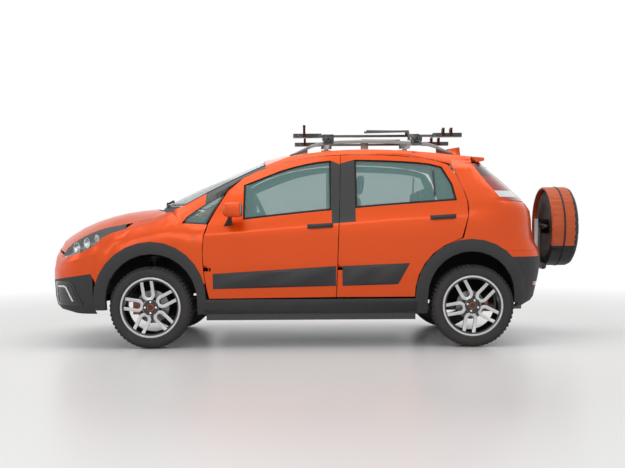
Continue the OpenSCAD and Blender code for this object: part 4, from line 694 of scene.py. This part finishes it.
def add_roof_load():
    for bar, x in (("front", 1398), ("rear", 2110)):
        for side, sign in (("left", -1), ("right", 1)):
            spun("bar_cap_%s_%s" % (bar, side), [(0.0, 0.0), (0.006, 0.0), (0.006, 0.009), (0.0, 0.0115)],
                 at(x, sign * 588, 1652), (0, sign, 0), "seal", "body", steps=28)
            spun("clamp_knob_%s_%s" % (bar, side), [(0.0, 0.0), (0.012, 0.0), (0.014, 0.012), (0.010, 0.017),
                                                    (0.0, 0.018)],
                 at(x, sign * 566, 1640), (0, sign, 0), "satin_black", "body", steps=8, angle=20.0)
    for side, sign in (("left", -1), ("right", 1)):
        y = sign * 350
        for number, x in enumerate((1201, 2356, 2421)):
            top = 1788 if number == 0 else 1760
            block("strap_buckle_%s_%d" % (side, number + 1), at(x - 10, y - 16, top - 12), at(x + 10, y + 16, top + 0.5),
                  "chrome", "body", bevel=0.003)
        for number, x in enumerate((1112, 2508)):
            block("tray_end_%s_%d" % (side, number + 1), at(x - 1, y - 24, 1686), at(x + 1, y + 24, 1718), "cover_orange",
                  "body", bevel=0.0008)
        tube("carrier_arm_%s" % side, [at(1720, y, 1744), at(1900, y, 1741), at(2060, y, 1737)], 0.006, "rail", "body")


def add_spare():
    hub = at(3267, 0, 942)
    piece = trace("cover_band", [hub + Vector((along, 0, radius)) for along, radius in
                                 ((0.100, 0.3402), (0.103, 0.3440), (0.112, 0.3440), (0.115, 0.3402))])
    bpy.ops.mesh.select_all(action="SELECT")
    bpy.ops.mesh.spin(steps=96, angle=2 * math.pi, center=hub, axis=(1, 0, 0))
    outward(piece)
    finished(piece, "cover_black", "spare_carrier", angle=30.0)
    spun("cover_shield", [(0.2350, 0.0), (0.2372, 0.0), (0.2372, 0.118), (0.2350, 0.122)], hub, (1, 0, 0),
         "cover_black", "spare_carrier", steps=72)
    spun("cover_shield_ring", [(0.2350, 0.146), (0.2366, 0.150), (0.2366, 0.162), (0.2350, 0.166)], hub, (1, 0, 0),
         "rail", "spare_carrier", steps=72)
    for number in range(5):
        turn = math.radians(90 + 72 * number)
        spun("spare_nut_%d" % (number + 1), [(-0.006, 0.0), (-0.006, 0.009), (0.0, 0.0105), (0.006, 0.009)],
             at(3250, 0, 942) + Vector((0, 0.044 * math.cos(turn), 0.044 * math.sin(turn))), (1, 0, 0), "chrome",
             "spare_carrier", steps=6, angle=20.0)


# Modelling helpers


def deselect():
    if bpy.context.object and bpy.context.object.mode != "OBJECT":
        bpy.ops.object.mode_set(mode="OBJECT")
    bpy.ops.object.select_all(action="DESELECT")


def only(piece):
    deselect()
    piece.select_set(True)
    bpy.context.view_layer.objects.active = piece


def edit(piece, kind="FACE"):
    only(piece)
    bpy.ops.object.mode_set(mode="EDIT")
    bpy.ops.mesh.select_mode(type=kind)
    bpy.ops.mesh.select_all(action="DESELECT")


def pick(piece, test, kind="faces"):
    """Selects the faces, edges or corners for which test(centre, normal) holds, in edit mode."""
    mesh = bmesh.from_edit_mesh(piece.data)
    for part in getattr(mesh, kind):
        if kind == "faces":
            centre, normal = part.calc_center_median(), part.normal
        elif kind == "edges":
            centre, normal = (part.verts[0].co + part.verts[1].co) / 2, (part.verts[1].co - part.verts[0].co)
        else:
            centre, normal = part.co, part.normal
        part.select_set(bool(test(centre, normal)))
    bmesh.update_edit_mesh(piece.data)


def finished(piece, finish, body, angle=35.0, bevel=0.0, segments=2, stands_for=()):
    """Bevels, smooths and paints a piece, leaves it at the origin and puts it on its body."""
    only(piece)
    bpy.ops.object.transform_apply(location=True, rotation=True, scale=True)
    if bevel:
        rounding = piece.modifiers.new("Rounding", "BEVEL")
        rounding.width = bevel
        rounding.segments = segments
        rounding.limit_method = "ANGLE"
        rounding.angle_limit = math.radians(40)
        bpy.ops.object.modifier_apply(modifier=rounding.name)
    bpy.ops.object.shade_smooth_by_angle(angle=math.radians(angle))
    if finish:
        piece.data.materials.clear()
        piece.data.materials.append(FINISHES[finish])
    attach(piece, body)
    if stands_for:
        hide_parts(*stands_for)
    return piece


def outward(piece):
    edit(piece)
    bpy.ops.mesh.select_all(action="SELECT")
    bpy.ops.mesh.remove_doubles(threshold=0.00005)
    bpy.ops.mesh.normals_make_consistent(inside=False)
    bpy.ops.object.mode_set(mode="OBJECT")


def trace(name, points):
    """A chain of edges through the points, drawn out of one corner."""
    deselect()
    bpy.ops.mesh.primitive_plane_add(size=0.001, location=points[0])
    piece = bpy.context.object
    piece.name = name
    bpy.ops.object.mode_set(mode="EDIT")
    bpy.ops.mesh.select_mode(type="VERT")
    bpy.ops.mesh.select_all(action="SELECT")
    bpy.ops.mesh.merge(type="CENTER")
    for here, there in zip(points, points[1:]):
        bpy.ops.mesh.extrude_region_move(TRANSFORM_OT_translate={"value": there - here})
    return piece


def plate(name, outline, depth, finish, body, bevel=0.0015, segments=2, **more):
    """A flat outline filled and drawn out along depth."""
    piece = trace(name, outline)
    bpy.ops.mesh.select_all(action="SELECT")
    bpy.ops.mesh.edge_face_add()
    bpy.ops.mesh.select_all(action="SELECT")
    bpy.ops.mesh.extrude_region_move(TRANSFORM_OT_translate={"value": depth})
    outward(piece)
    return finished(piece, finish, body, bevel=bevel, segments=segments, **more)


def spun(name, profile, centre, axis, finish, body, steps=64, angle=30.0, bevel=0.0, segments=2, **more):
    """A profile of (along, radius) pairs in metres spun round an axis: Y or X."""
    axis = Vector(axis).normalized()
    arm = Vector((0, 0, 1))
    piece = trace(name, [centre + axis * along + arm * radius for along, radius in profile])
    bpy.ops.mesh.select_all(action="SELECT")
    bpy.ops.mesh.spin(steps=steps, angle=2 * math.pi, center=centre, axis=axis)
    outward(piece)
    return finished(piece, finish, body, angle=angle, bevel=bevel, segments=segments, **more)


def tube(name, points, radius, finish, body, sides=2, **more):
    """A round bar along the points."""
    deselect()
    bpy.ops.curve.primitive_nurbs_path_add(radius=1.0, location=(0, 0, 0))
    piece = bpy.context.object
    piece.name = name
    piece.data.splines.clear()
    path = piece.data.splines.new("POLY")
    path.points.add(len(points) - 1)
    for corner, point in zip(path.points, points):
        corner.co = (*point, 1.0)
    piece.data.bevel_depth = radius
    piece.data.bevel_resolution = sides
    piece.data.use_fill_caps = True
    only(piece)
    bpy.ops.object.convert(target="MESH")
    piece = bpy.context.object
    outward(piece)
    return finished(piece, finish, body, angle=50.0, **more)


def block(name, low, high, finish, body, bevel=0.002, segments=2, tune=None, **more):
    """A box from corner to corner, shaped further by tune in edit mode, then rounded."""
    deselect()
    middle_point = (low + high) / 2
    bpy.ops.mesh.primitive_cube_add(size=1, location=middle_point)
    piece = bpy.context.object
    piece.name = name
    bpy.ops.transform.resize(value=tuple(abs(high[i] - low[i]) for i in range(3)))
    only(piece)
    bpy.ops.object.transform_apply(location=True, rotation=True, scale=True)
    if tune:
        edit(piece)
        tune(piece)
        bpy.ops.object.mode_set(mode="OBJECT")
    return finished(piece, finish, body, bevel=bevel, segments=segments, **more)


def copied(piece, name, body, move=None, change=None):
    """Another of the same piece with its own mesh, each corner moved by change."""
    twin = piece.copy()
    twin.data = piece.data.copy()
    twin.name = name
    bpy.context.scene.collection.objects.link(twin)
    only(twin)
    twin.parent = None
    twin.matrix_world.identity()
    if move:
        bpy.ops.transform.translate(value=move)
        bpy.ops.object.transform_apply(location=True, rotation=True, scale=True)
    if change:
        for corner in twin.data.vertices:
            corner.co = change(corner.co)
    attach(twin, body)
    return twin


def mirrored(piece, name, body):
    """The same piece on the other side of the car."""
    twin = copied(piece, name, body, change=lambda co: Vector((co.x, -co.y, co.z)))
    edit(twin)
    bpy.ops.mesh.select_all(action="SELECT")
    bpy.ops.mesh.flip_normals()
    bpy.ops.object.mode_set(mode="OBJECT")
    return twin


def dressed(node, finishes, choose=None, angle=34.0, bevel=0.0, name=None, tune=None):
    """A smooth copy of a CAD node in its place. choose(centre, normal) picks each face's finish."""
    piece = copy_of(node, name or "skin_" + node)
    SKINS[node] = piece
    bpy.ops.mesh.select_all(action="SELECT")
    bpy.ops.mesh.tris_convert_to_quads(face_threshold=math.radians(25), shape_threshold=math.radians(60))
    if tune:
        tune(piece)
    bpy.ops.object.mode_set(mode="OBJECT")
    finished(piece, None, BODY_OF[node], angle=angle, bevel=bevel, stands_for=(node,))
    piece.data.materials.clear()
    for finish in finishes:
        piece.data.materials.append(FINISHES[finish])
    for face in piece.data.polygons:
        face.material_index = choose(face.center, face.normal) if choose else 0
    return piece


def sides(make):
    """Runs make for the left side, which the photograph shows, and the right."""
    for side, sign in (("left", -1), ("right", 1)):
        make(side, sign)


# The operators' work, piece by piece


def dress_body():
    """Painted panels, with the door frames black beside the middle post."""
    for node in ("roof_skin", "front_bumper", "rear_bumper", "bonnet", "tailgate"):
        dressed(node, ["paint"])
    post_front, post_back = at(1420, 0, 0).x, at(1600, 0, 0).x

    def one(side, sign):
        dressed("fender_" + side, ["paint"])

        def frame_finish(centre, normal):
            belt = centre.z > 0.965 + 0.05 * (centre.x - at(490, 0, 0).x)
            inside = normal.y * sign < -0.3
            return 1 if inside or (belt and centre.z < 1.452 and post_front < centre.x < post_back) else 0
        dressed("door_front_" + side, ["paint", "gloss_black"], frame_finish)
        dressed("door_rear_" + side, ["paint", "gloss_black"], frame_finish)

        def frame_inside(centre, normal):
            posts = at(400, 0, 0).x < centre.x < at(1700, 0, 0).x and abs(centre.y) < 0.80 and centre.z < 1.45
            return 1 if posts or centre.z < 0.30 else 0
        dressed("side_frame_" + side, ["paint", "satin_black"], frame_inside)
    sides(one)
    for node, finish in (("underbody", "sealer"), ("engine_block", "iron"), ("front_subframe", "sealer"),
                         ("rear_axle", "satin_black"), ("exhaust_tank", "steel")):
        dressed(node, [finish])


def dress_plastic():
    for node in ("cladding_left", "cladding_right", "cladding_front", "cladding_rear", "cowl_wipers"):
        dressed(node, ["plastic"])
    dressed("front_grilles", ["satin_black"])

    def one(side, sign):
        def finish(centre, normal):
            housing = centre.z > 1.015 and abs(centre.y) > 0.842 and centre.x < at(900, 0, 0).x
            if housing and normal.x > 0.9:
                return 2
            return 0 if housing else 1
        for end in ("front", "rear"):
            dressed("trim_%s_%s" % (end, side), ["paint", "moulding", "mirror"], finish)
    sides(one)


def dress_glass():
    dressed("fixed_glass", ["glass"])
    dressed("tailgate_glass", ["glass"])
    for side in ("left", "right"):
        for end in ("front", "rear"):
            dressed("glass_%s_%s" % (end, side), ["glass"])


def dress_wheels():
    turns = {"front": 45.0, "rear": 26.7}
    hub = {"front": 0.0, "rear": WHEELBASE}

    def one(side, sign):
        for end in ("front", "rear"):
            axle = at(hub[end], 0, HUB_Z)

            def radius(centre):
                return math.hypot(centre.x - axle.x, centre.z - axle.z)

            def finish(centre, normal):
                out = sign * centre.y
                r = radius(centre)
                if out > 0.80 and normal.y * sign > 0.9 and r > 0.060:
                    return 0
                if r > 0.2265 and out > 0.80:
                    return 0
                if 0.66 < out < 0.726 and 0.070 < r < 0.140:
                    return 2
                return 1

            def turned(piece):
                bpy.ops.mesh.select_all(action="SELECT")
                bpy.ops.transform.rotate(value=-math.radians(turns[end]), orient_axis="Y", center_override=axle)
            dressed("rim_%s_%s" % (end, side), ["silver", "wheel_black", "disc"], finish, angle=30.0, bevel=0.0012,
                    tune=turned)

        def casting(centre, normal):
            return 1 if centre.x < at(-88, 0, 0).x and abs(centre.y) > 0.665 else 0
        dressed("knuckle_" + side, ["iron", "caliper"], casting)
    sides(one)


def dress_rest():

    def lamp_shell(centre, normal):
        outer = normal.y * (1 if centre.y > 0 else -1) > 0.15 or normal.x < -0.6
        return 0 if outer else 1
    dressed("headlamps", ["clear", "satin_black"], lamp_shell)

    def tail_bands(centre, normal):
        height = centre.z
        return 1 if height > 1.36 else 2 if 1.185 < height < 1.235 else 0
    dressed("tail_lamps", ["red", "red_deep", "white_lens"], tail_bands)
    dressed("roof_rails", ["rail", "plastic"], lambda centre, normal: 0)
    dressed("roof_rack", ["satin_black"])
    dressed("dashboard", ["cabin"])
    dressed("steering_wheel", ["cabin"])
    dressed("spare_wheel", ["rubber"])
    dressed("spare_arm", ["satin_black"])

    def two_tone(centre, normal):
        low = centre.z < 0.777
        return 1 if low or centre.x > at(3463, 0, 0).x or centre.x < at(3270, 0, 0).x else 0
    dressed("spare_cover", ["cover_orange", "cover_black"], two_tone)


def build_stage(sizes):
    """Pale floor, soft light from above and both sides, and the camera at the photograph's angle."""
    deselect()
    bpy.ops.mesh.primitive_plane_add(size=60, location=(0, 0, 0))
    floor = bpy.context.object
    floor.name = "floor"
    bpy.ops.object.transform_apply(location=True, rotation=True, scale=True)
    stage = Finish("pale_floor", linear(244, 244, 243), 0.32)
    tree = stage.tree
    path = tree.nodes.new("ShaderNodeLightPath")
    white = tree.nodes.new("ShaderNodeEmission")
    white.inputs["Color"].default_value = (1.0, 1.0, 1.0, 1.0)
    out = tree.nodes["Material Output"]
    blend = tree.nodes.new("ShaderNodeMixShader")
    far = stage.split(stage.place())
    distance = (far[0] * far[0] + far[1] * far[1]) ** 0.5
    fade = stage.span(distance, 0.0, 1.0)
    stage.put(fade.socket.node, {"From Min": 3.2, "From Max": 7.5})
    seen = Wire(stage, path.outputs["Is Camera Ray"]).maths(
        "MAXIMUM", Wire(stage, path.outputs["Is Camera Ray"]), Wire(stage, path.outputs["Is Glossy Ray"]))
    tree.links.new((seen * fade).socket, blend.inputs[0])
    tree.links.new(stage.shader.outputs[0], blend.inputs[1])
    tree.links.new(white.outputs[0], blend.inputs[2])
    tree.links.new(blend.outputs[0], out.inputs["Surface"])
    cloud = stage.noise(1.2, 3.0)
    stage.vary(roughness=stage.span(cloud, 0.28, 0.36))
    floor.data.materials.append(stage.material)

    scene = bpy.context.scene
    scene.view_settings.view_transform = "Standard"
    world = bpy.data.worlds.new("studio")
    scene.world = world
    world.use_nodes = True
    nodes, links = world.node_tree.nodes, world.node_tree.links
    soft = nodes["Background"]
    soft.inputs["Color"].default_value = (1.0, 1.0, 1.0, 1.0)
    soft.inputs["Strength"].default_value = sizes.sky
    bright = nodes.new("ShaderNodeBackground")
    bright.inputs["Color"].default_value = (1.0, 1.0, 1.0, 1.0)
    bright.inputs["Strength"].default_value = 1.0
    ray = nodes.new("ShaderNodeLightPath")
    either = nodes.new("ShaderNodeMath")
    either.operation = "MAXIMUM"
    more = nodes.new("ShaderNodeMath")
    more.operation = "MAXIMUM"
    mix = nodes.new("ShaderNodeMixShader")
    links.new(ray.outputs["Is Camera Ray"], either.inputs[0])
    links.new(ray.outputs["Is Glossy Ray"], either.inputs[1])
    links.new(either.outputs[0], more.inputs[0])
    links.new(ray.outputs["Is Transmission Ray"], more.inputs[1])
    links.new(more.outputs[0], mix.inputs[0])
    links.new(soft.outputs[0], mix.inputs[1])
    links.new(bright.outputs[0], mix.inputs[2])
    links.new(mix.outputs[0], nodes["World Output"].inputs["Surface"])

    for name, place, size, power in (
            ("lamp_above", (0.2, -0.6, 5.0), (6.5, 3.2), sizes.top_light),
            ("lamp_left", (-0.6, -6.4, 3.4), (6.0, 2.4), sizes.side_light),
            ("lamp_right", (0.6, 6.4, 3.4), (6.0, 2.4), sizes.side_light * 0.6),
            ("lamp_nose", (-6.5, -2.0, 2.6), (3.0, 2.2), sizes.side_light * 0.5)):
        data = bpy.data.lights.new(name, "AREA")
        data.shape = "RECTANGLE"
        data.size, data.size_y = size
        data.energy = power
        lamp = bpy.data.objects.new(name, data)
        scene.collection.objects.link(lamp)
        lamp.location = place
        lamp.rotation_euler = (Vector((0, 0, 0.8)) - Vector(place)).to_track_quat("-Z", "Y").to_euler()

    data = bpy.data.cameras.new("camera")
    data.lens = sizes.lens
    data.sensor_width = 36.0
    data.shift_x = sizes.shift_x
    data.clip_end = 200.0
    camera = bpy.data.objects.new("camera", data)
    scene.collection.objects.link(camera)
    camera.location = (sizes.camera_x, -sizes.camera_distance, sizes.camera_height)
    camera.rotation_euler = (math.radians(90), -sizes.camera_roll, 0)
    scene.camera = camera


class CrossoverColours(bpy.types.PropertyGroup):
    """Colours of the car's painted, moulded and glazed pieces."""
    paint: bpy.props.FloatVectorProperty(name="Body paint", description="Solid colour under the clear coat",
                                         subtype="COLOR", size=4, min=0, max=1, default=linear(224, 78, 6))
    plastic: bpy.props.FloatVectorProperty(name="Cladding", description="Moulded plastic of arches and sills",
                                           subtype="COLOR", size=4, min=0, max=1, default=linear(44, 44, 46))
    glass: bpy.props.FloatVectorProperty(name="Glass", description="Tint of the panes",
                                         subtype="COLOR", size=4, min=0, max=1, default=linear(128, 172, 168))
    alloy: bpy.props.FloatVectorProperty(name="Alloy", description="Machined faces of the wheels",
                                         subtype="COLOR", size=4, min=0, max=1, default=linear(206, 206, 208))
    cover: bpy.props.FloatVectorProperty(name="Spare cover", description="Coloured ring of the spare's cover",
                                         subtype="COLOR", size=4, min=0, max=1, default=linear(200, 88, 42))


class CrossoverSizes(bpy.types.PropertyGroup):
    """Sizes of the added pieces, the light and the camera."""
    tread_depth: bpy.props.FloatProperty(name="Tread depth", description="How deep the cross cuts are",
                                         subtype="DISTANCE", unit="LENGTH", min=0.002, max=0.009, default=0.006)
    seal_width: bpy.props.FloatProperty(name="Window seal", description="Width of the black rubber round a pane",
                                        subtype="DISTANCE", unit="LENGTH", min=0.006, max=0.03, default=0.014)
    stitch_gap: bpy.props.FloatProperty(name="Seat channels", description="Spacing of the seats' sewn channels",
                                        subtype="DISTANCE", unit="LENGTH", min=0.04, max=0.12, default=0.07)
    sky: bpy.props.FloatProperty(name="Sky", description="Strength of the even light", min=0, max=2, default=0.42)
    top_light: bpy.props.FloatProperty(name="Top light", description="Power of the light above", min=0, max=900,
                                       default=120)
    side_light: bpy.props.FloatProperty(name="Side light", description="Power of the light at the side", min=0,
                                        max=900, default=60)
    camera_distance: bpy.props.FloatProperty(name="Camera distance", description="From the car's middle line",
                                             subtype="DISTANCE", unit="LENGTH", min=4, max=15, default=7.5)
    camera_height: bpy.props.FloatProperty(name="Camera height", description="Above the ground",
                                           subtype="DISTANCE", unit="LENGTH", min=0.2, max=3, default=0.886)
    camera_x: bpy.props.FloatProperty(name="Camera place", description="Along the car", subtype="DISTANCE",
                                      unit="LENGTH", min=-2, max=2, default=-0.0585)
    camera_roll: bpy.props.FloatProperty(name="Camera roll", description="Turn about the line of sight",
                                         subtype="ANGLE", unit="ROTATION", min=-0.1, max=0.1, default=-0.0061)
    lens: bpy.props.FloatProperty(name="Lens", description="Focal length on a 36 mm sensor", min=20, max=120,
                                  default=49.46)
    shift_x: bpy.props.FloatProperty(name="Shift", description="Sideways shift of the picture", min=-0.2, max=0.2,
                                     default=0.0021)


class CROSSOVER_OT_finishes(bpy.types.Operator):
    """Paint, plastics, glass, metals and cloth that every piece uses"""
    bl_idname = "crossover.finishes"
    bl_label = "Finishes"

    def execute(self, context):
        make_finishes(context.scene.crossover_colours)
        return {"FINISHED"}



class CROSSOVER_OT_body(bpy.types.Operator):
    """Painted panels, frames and the parts under the floor"""
    bl_idname = "crossover.body"
    bl_label = "Body panels"

    def execute(self, context):
        dress_body()
        return {"FINISHED"}



class CROSSOVER_OT_cladding(bpy.types.Operator):
    """Grained plastic of the arches, sills, bumpers, mouldings and mirrors"""
    bl_idname = "crossover.cladding"
    bl_label = "Cladding"

    def execute(self, context):
        dress_plastic()
        return {"FINISHED"}



class CROSSOVER_OT_panes(bpy.types.Operator):
    """Fixed and door glass"""
    bl_idname = "crossover.panes"
    bl_label = "Panes"

    def execute(self, context):
        dress_glass()
        return {"FINISHED"}



class CROSSOVER_OT_running_gear(bpy.types.Operator):
    """Alloy wheels, discs and uprights"""
    bl_idname = "crossover.running_gear"
    bl_label = "Wheels and hubs"

    def execute(self, context):
        dress_wheels()
        return {"FINISHED"}



class CROSSOVER_OT_fittings(bpy.types.Operator):
    """Lamps, rails, rack, cabin and spare in their own finishes"""
    bl_idname = "crossover.fittings"
    bl_label = "Fittings"

    def execute(self, context):
        dress_rest()
        return {"FINISHED"}



class CROSSOVER_OT_window_trim(bpy.types.Operator):
    """Rubber round the door panes"""
    bl_idname = "crossover.window_trim"
    bl_label = "Window seals"

    def execute(self, context):
        add_window_trim()
        return {"FINISHED"}



class CROSSOVER_OT_wheel_details(bpy.types.Operator):
    """Tyres with tread, hub caps, bolts, valves and rear calipers"""
    bl_idname = "crossover.wheel_details"
    bl_label = "Tyres and hub caps"

    def execute(self, context):
        add_wheel_details()
        return {"FINISHED"}



class CROSSOVER_OT_lamps(bpy.types.Operator):
    """Headlamp bowls, fog bezels, day lamps, repeaters and the nose's plates"""
    bl_idname = "crossover.lamps"
    bl_label = "Lamps"

    def execute(self, context):
        add_lamps()
        return {"FINISHED"}



class CROSSOVER_OT_tail(bpy.types.Operator):
    """Stop lamp and skid plate"""
    bl_idname = "crossover.tail"
    bl_label = "Tail"

    def execute(self, context):
        add_tail()
        return {"FINISHED"}



class CROSSOVER_OT_seats(bpy.types.Operator):
    """Front seats and rear bench as sewn pads"""
    bl_idname = "crossover.seats"
    bl_label = "Seats"

    def execute(self, context):
        add_seats()
        return {"FINISHED"}



class CROSSOVER_OT_dashboard(bpy.types.Operator):
    """Vents, screen and dials"""
    bl_idname = "crossover.dashboard"
    bl_label = "Dashboard"

    def execute(self, context):
        add_dashboard()
        return {"FINISHED"}



class CROSSOVER_OT_roof_load(bpy.types.Operator):
    """Caps, knobs, buckles and arms of the bicycle carriers"""
    bl_idname = "crossover.roof_load"
    bl_label = "Roof load"

    def execute(self, context):
        add_roof_load()
        return {"FINISHED"}



class CROSSOVER_OT_spare(bpy.types.Operator):
    """Band, shield and nuts of the spare's cover and carrier"""
    bl_idname = "crossover.spare"
    bl_label = "Spare wheel"

    def execute(self, context):
        add_spare()
        return {"FINISHED"}



class CROSSOVER_OT_stage(bpy.types.Operator):
    """Floor, light and camera"""
    bl_idname = "crossover.stage"
    bl_label = "Stage"

    def execute(self, context):
        build_stage(context.scene.crossover_sizes)
        return {"FINISHED"}


class CROSSOVER_PT_panel(bpy.types.Panel):
    """Colours, sizes and the operators in the order in which they run"""
    bl_idname = "CROSSOVER_PT_panel"
    bl_label = "Crossover Car"
    bl_space_type = "VIEW_3D"
    bl_region_type = "UI"
    bl_category = "Crossover"

    def draw(self, context):
        for group in (context.scene.crossover_colours, context.scene.crossover_sizes):
            box = self.layout.box()
            for name in group.bl_rna.properties.keys():
                if name not in ("rna_type", "name"):
                    box.prop(group, name)
        for operator in OPERATORS:
            self.layout.operator(operator.bl_idname)


OPERATORS = (CROSSOVER_OT_finishes,
             CROSSOVER_OT_body,
             CROSSOVER_OT_cladding,
             CROSSOVER_OT_panes,
             CROSSOVER_OT_running_gear,
             CROSSOVER_OT_fittings,
             CROSSOVER_OT_window_trim,
             CROSSOVER_OT_wheel_details,
             CROSSOVER_OT_lamps,
             CROSSOVER_OT_tail,
             CROSSOVER_OT_seats,
             CROSSOVER_OT_dashboard,
             CROSSOVER_OT_roof_load,
             CROSSOVER_OT_spare,
             CROSSOVER_OT_stage)
CLASSES = (CrossoverColours, CrossoverSizes) + OPERATORS + (CROSSOVER_PT_panel,)


def register():
    for cls in CLASSES:
        bpy.utils.register_class(cls)
    bpy.types.Scene.crossover_colours = bpy.props.PointerProperty(type=CrossoverColours)
    bpy.types.Scene.crossover_sizes = bpy.props.PointerProperty(type=CrossoverSizes)


def unregister():
    del bpy.types.Scene.crossover_sizes
    del bpy.types.Scene.crossover_colours
    for cls in reversed(CLASSES):
        bpy.utils.unregister_class(cls)


def main():
    register()
    for operator in OPERATORS:
        group, name = operator.bl_idname.split(".")
        getattr(getattr(bpy.ops, group), name)()
    deselect()


if __name__ == "__main__":
    main()
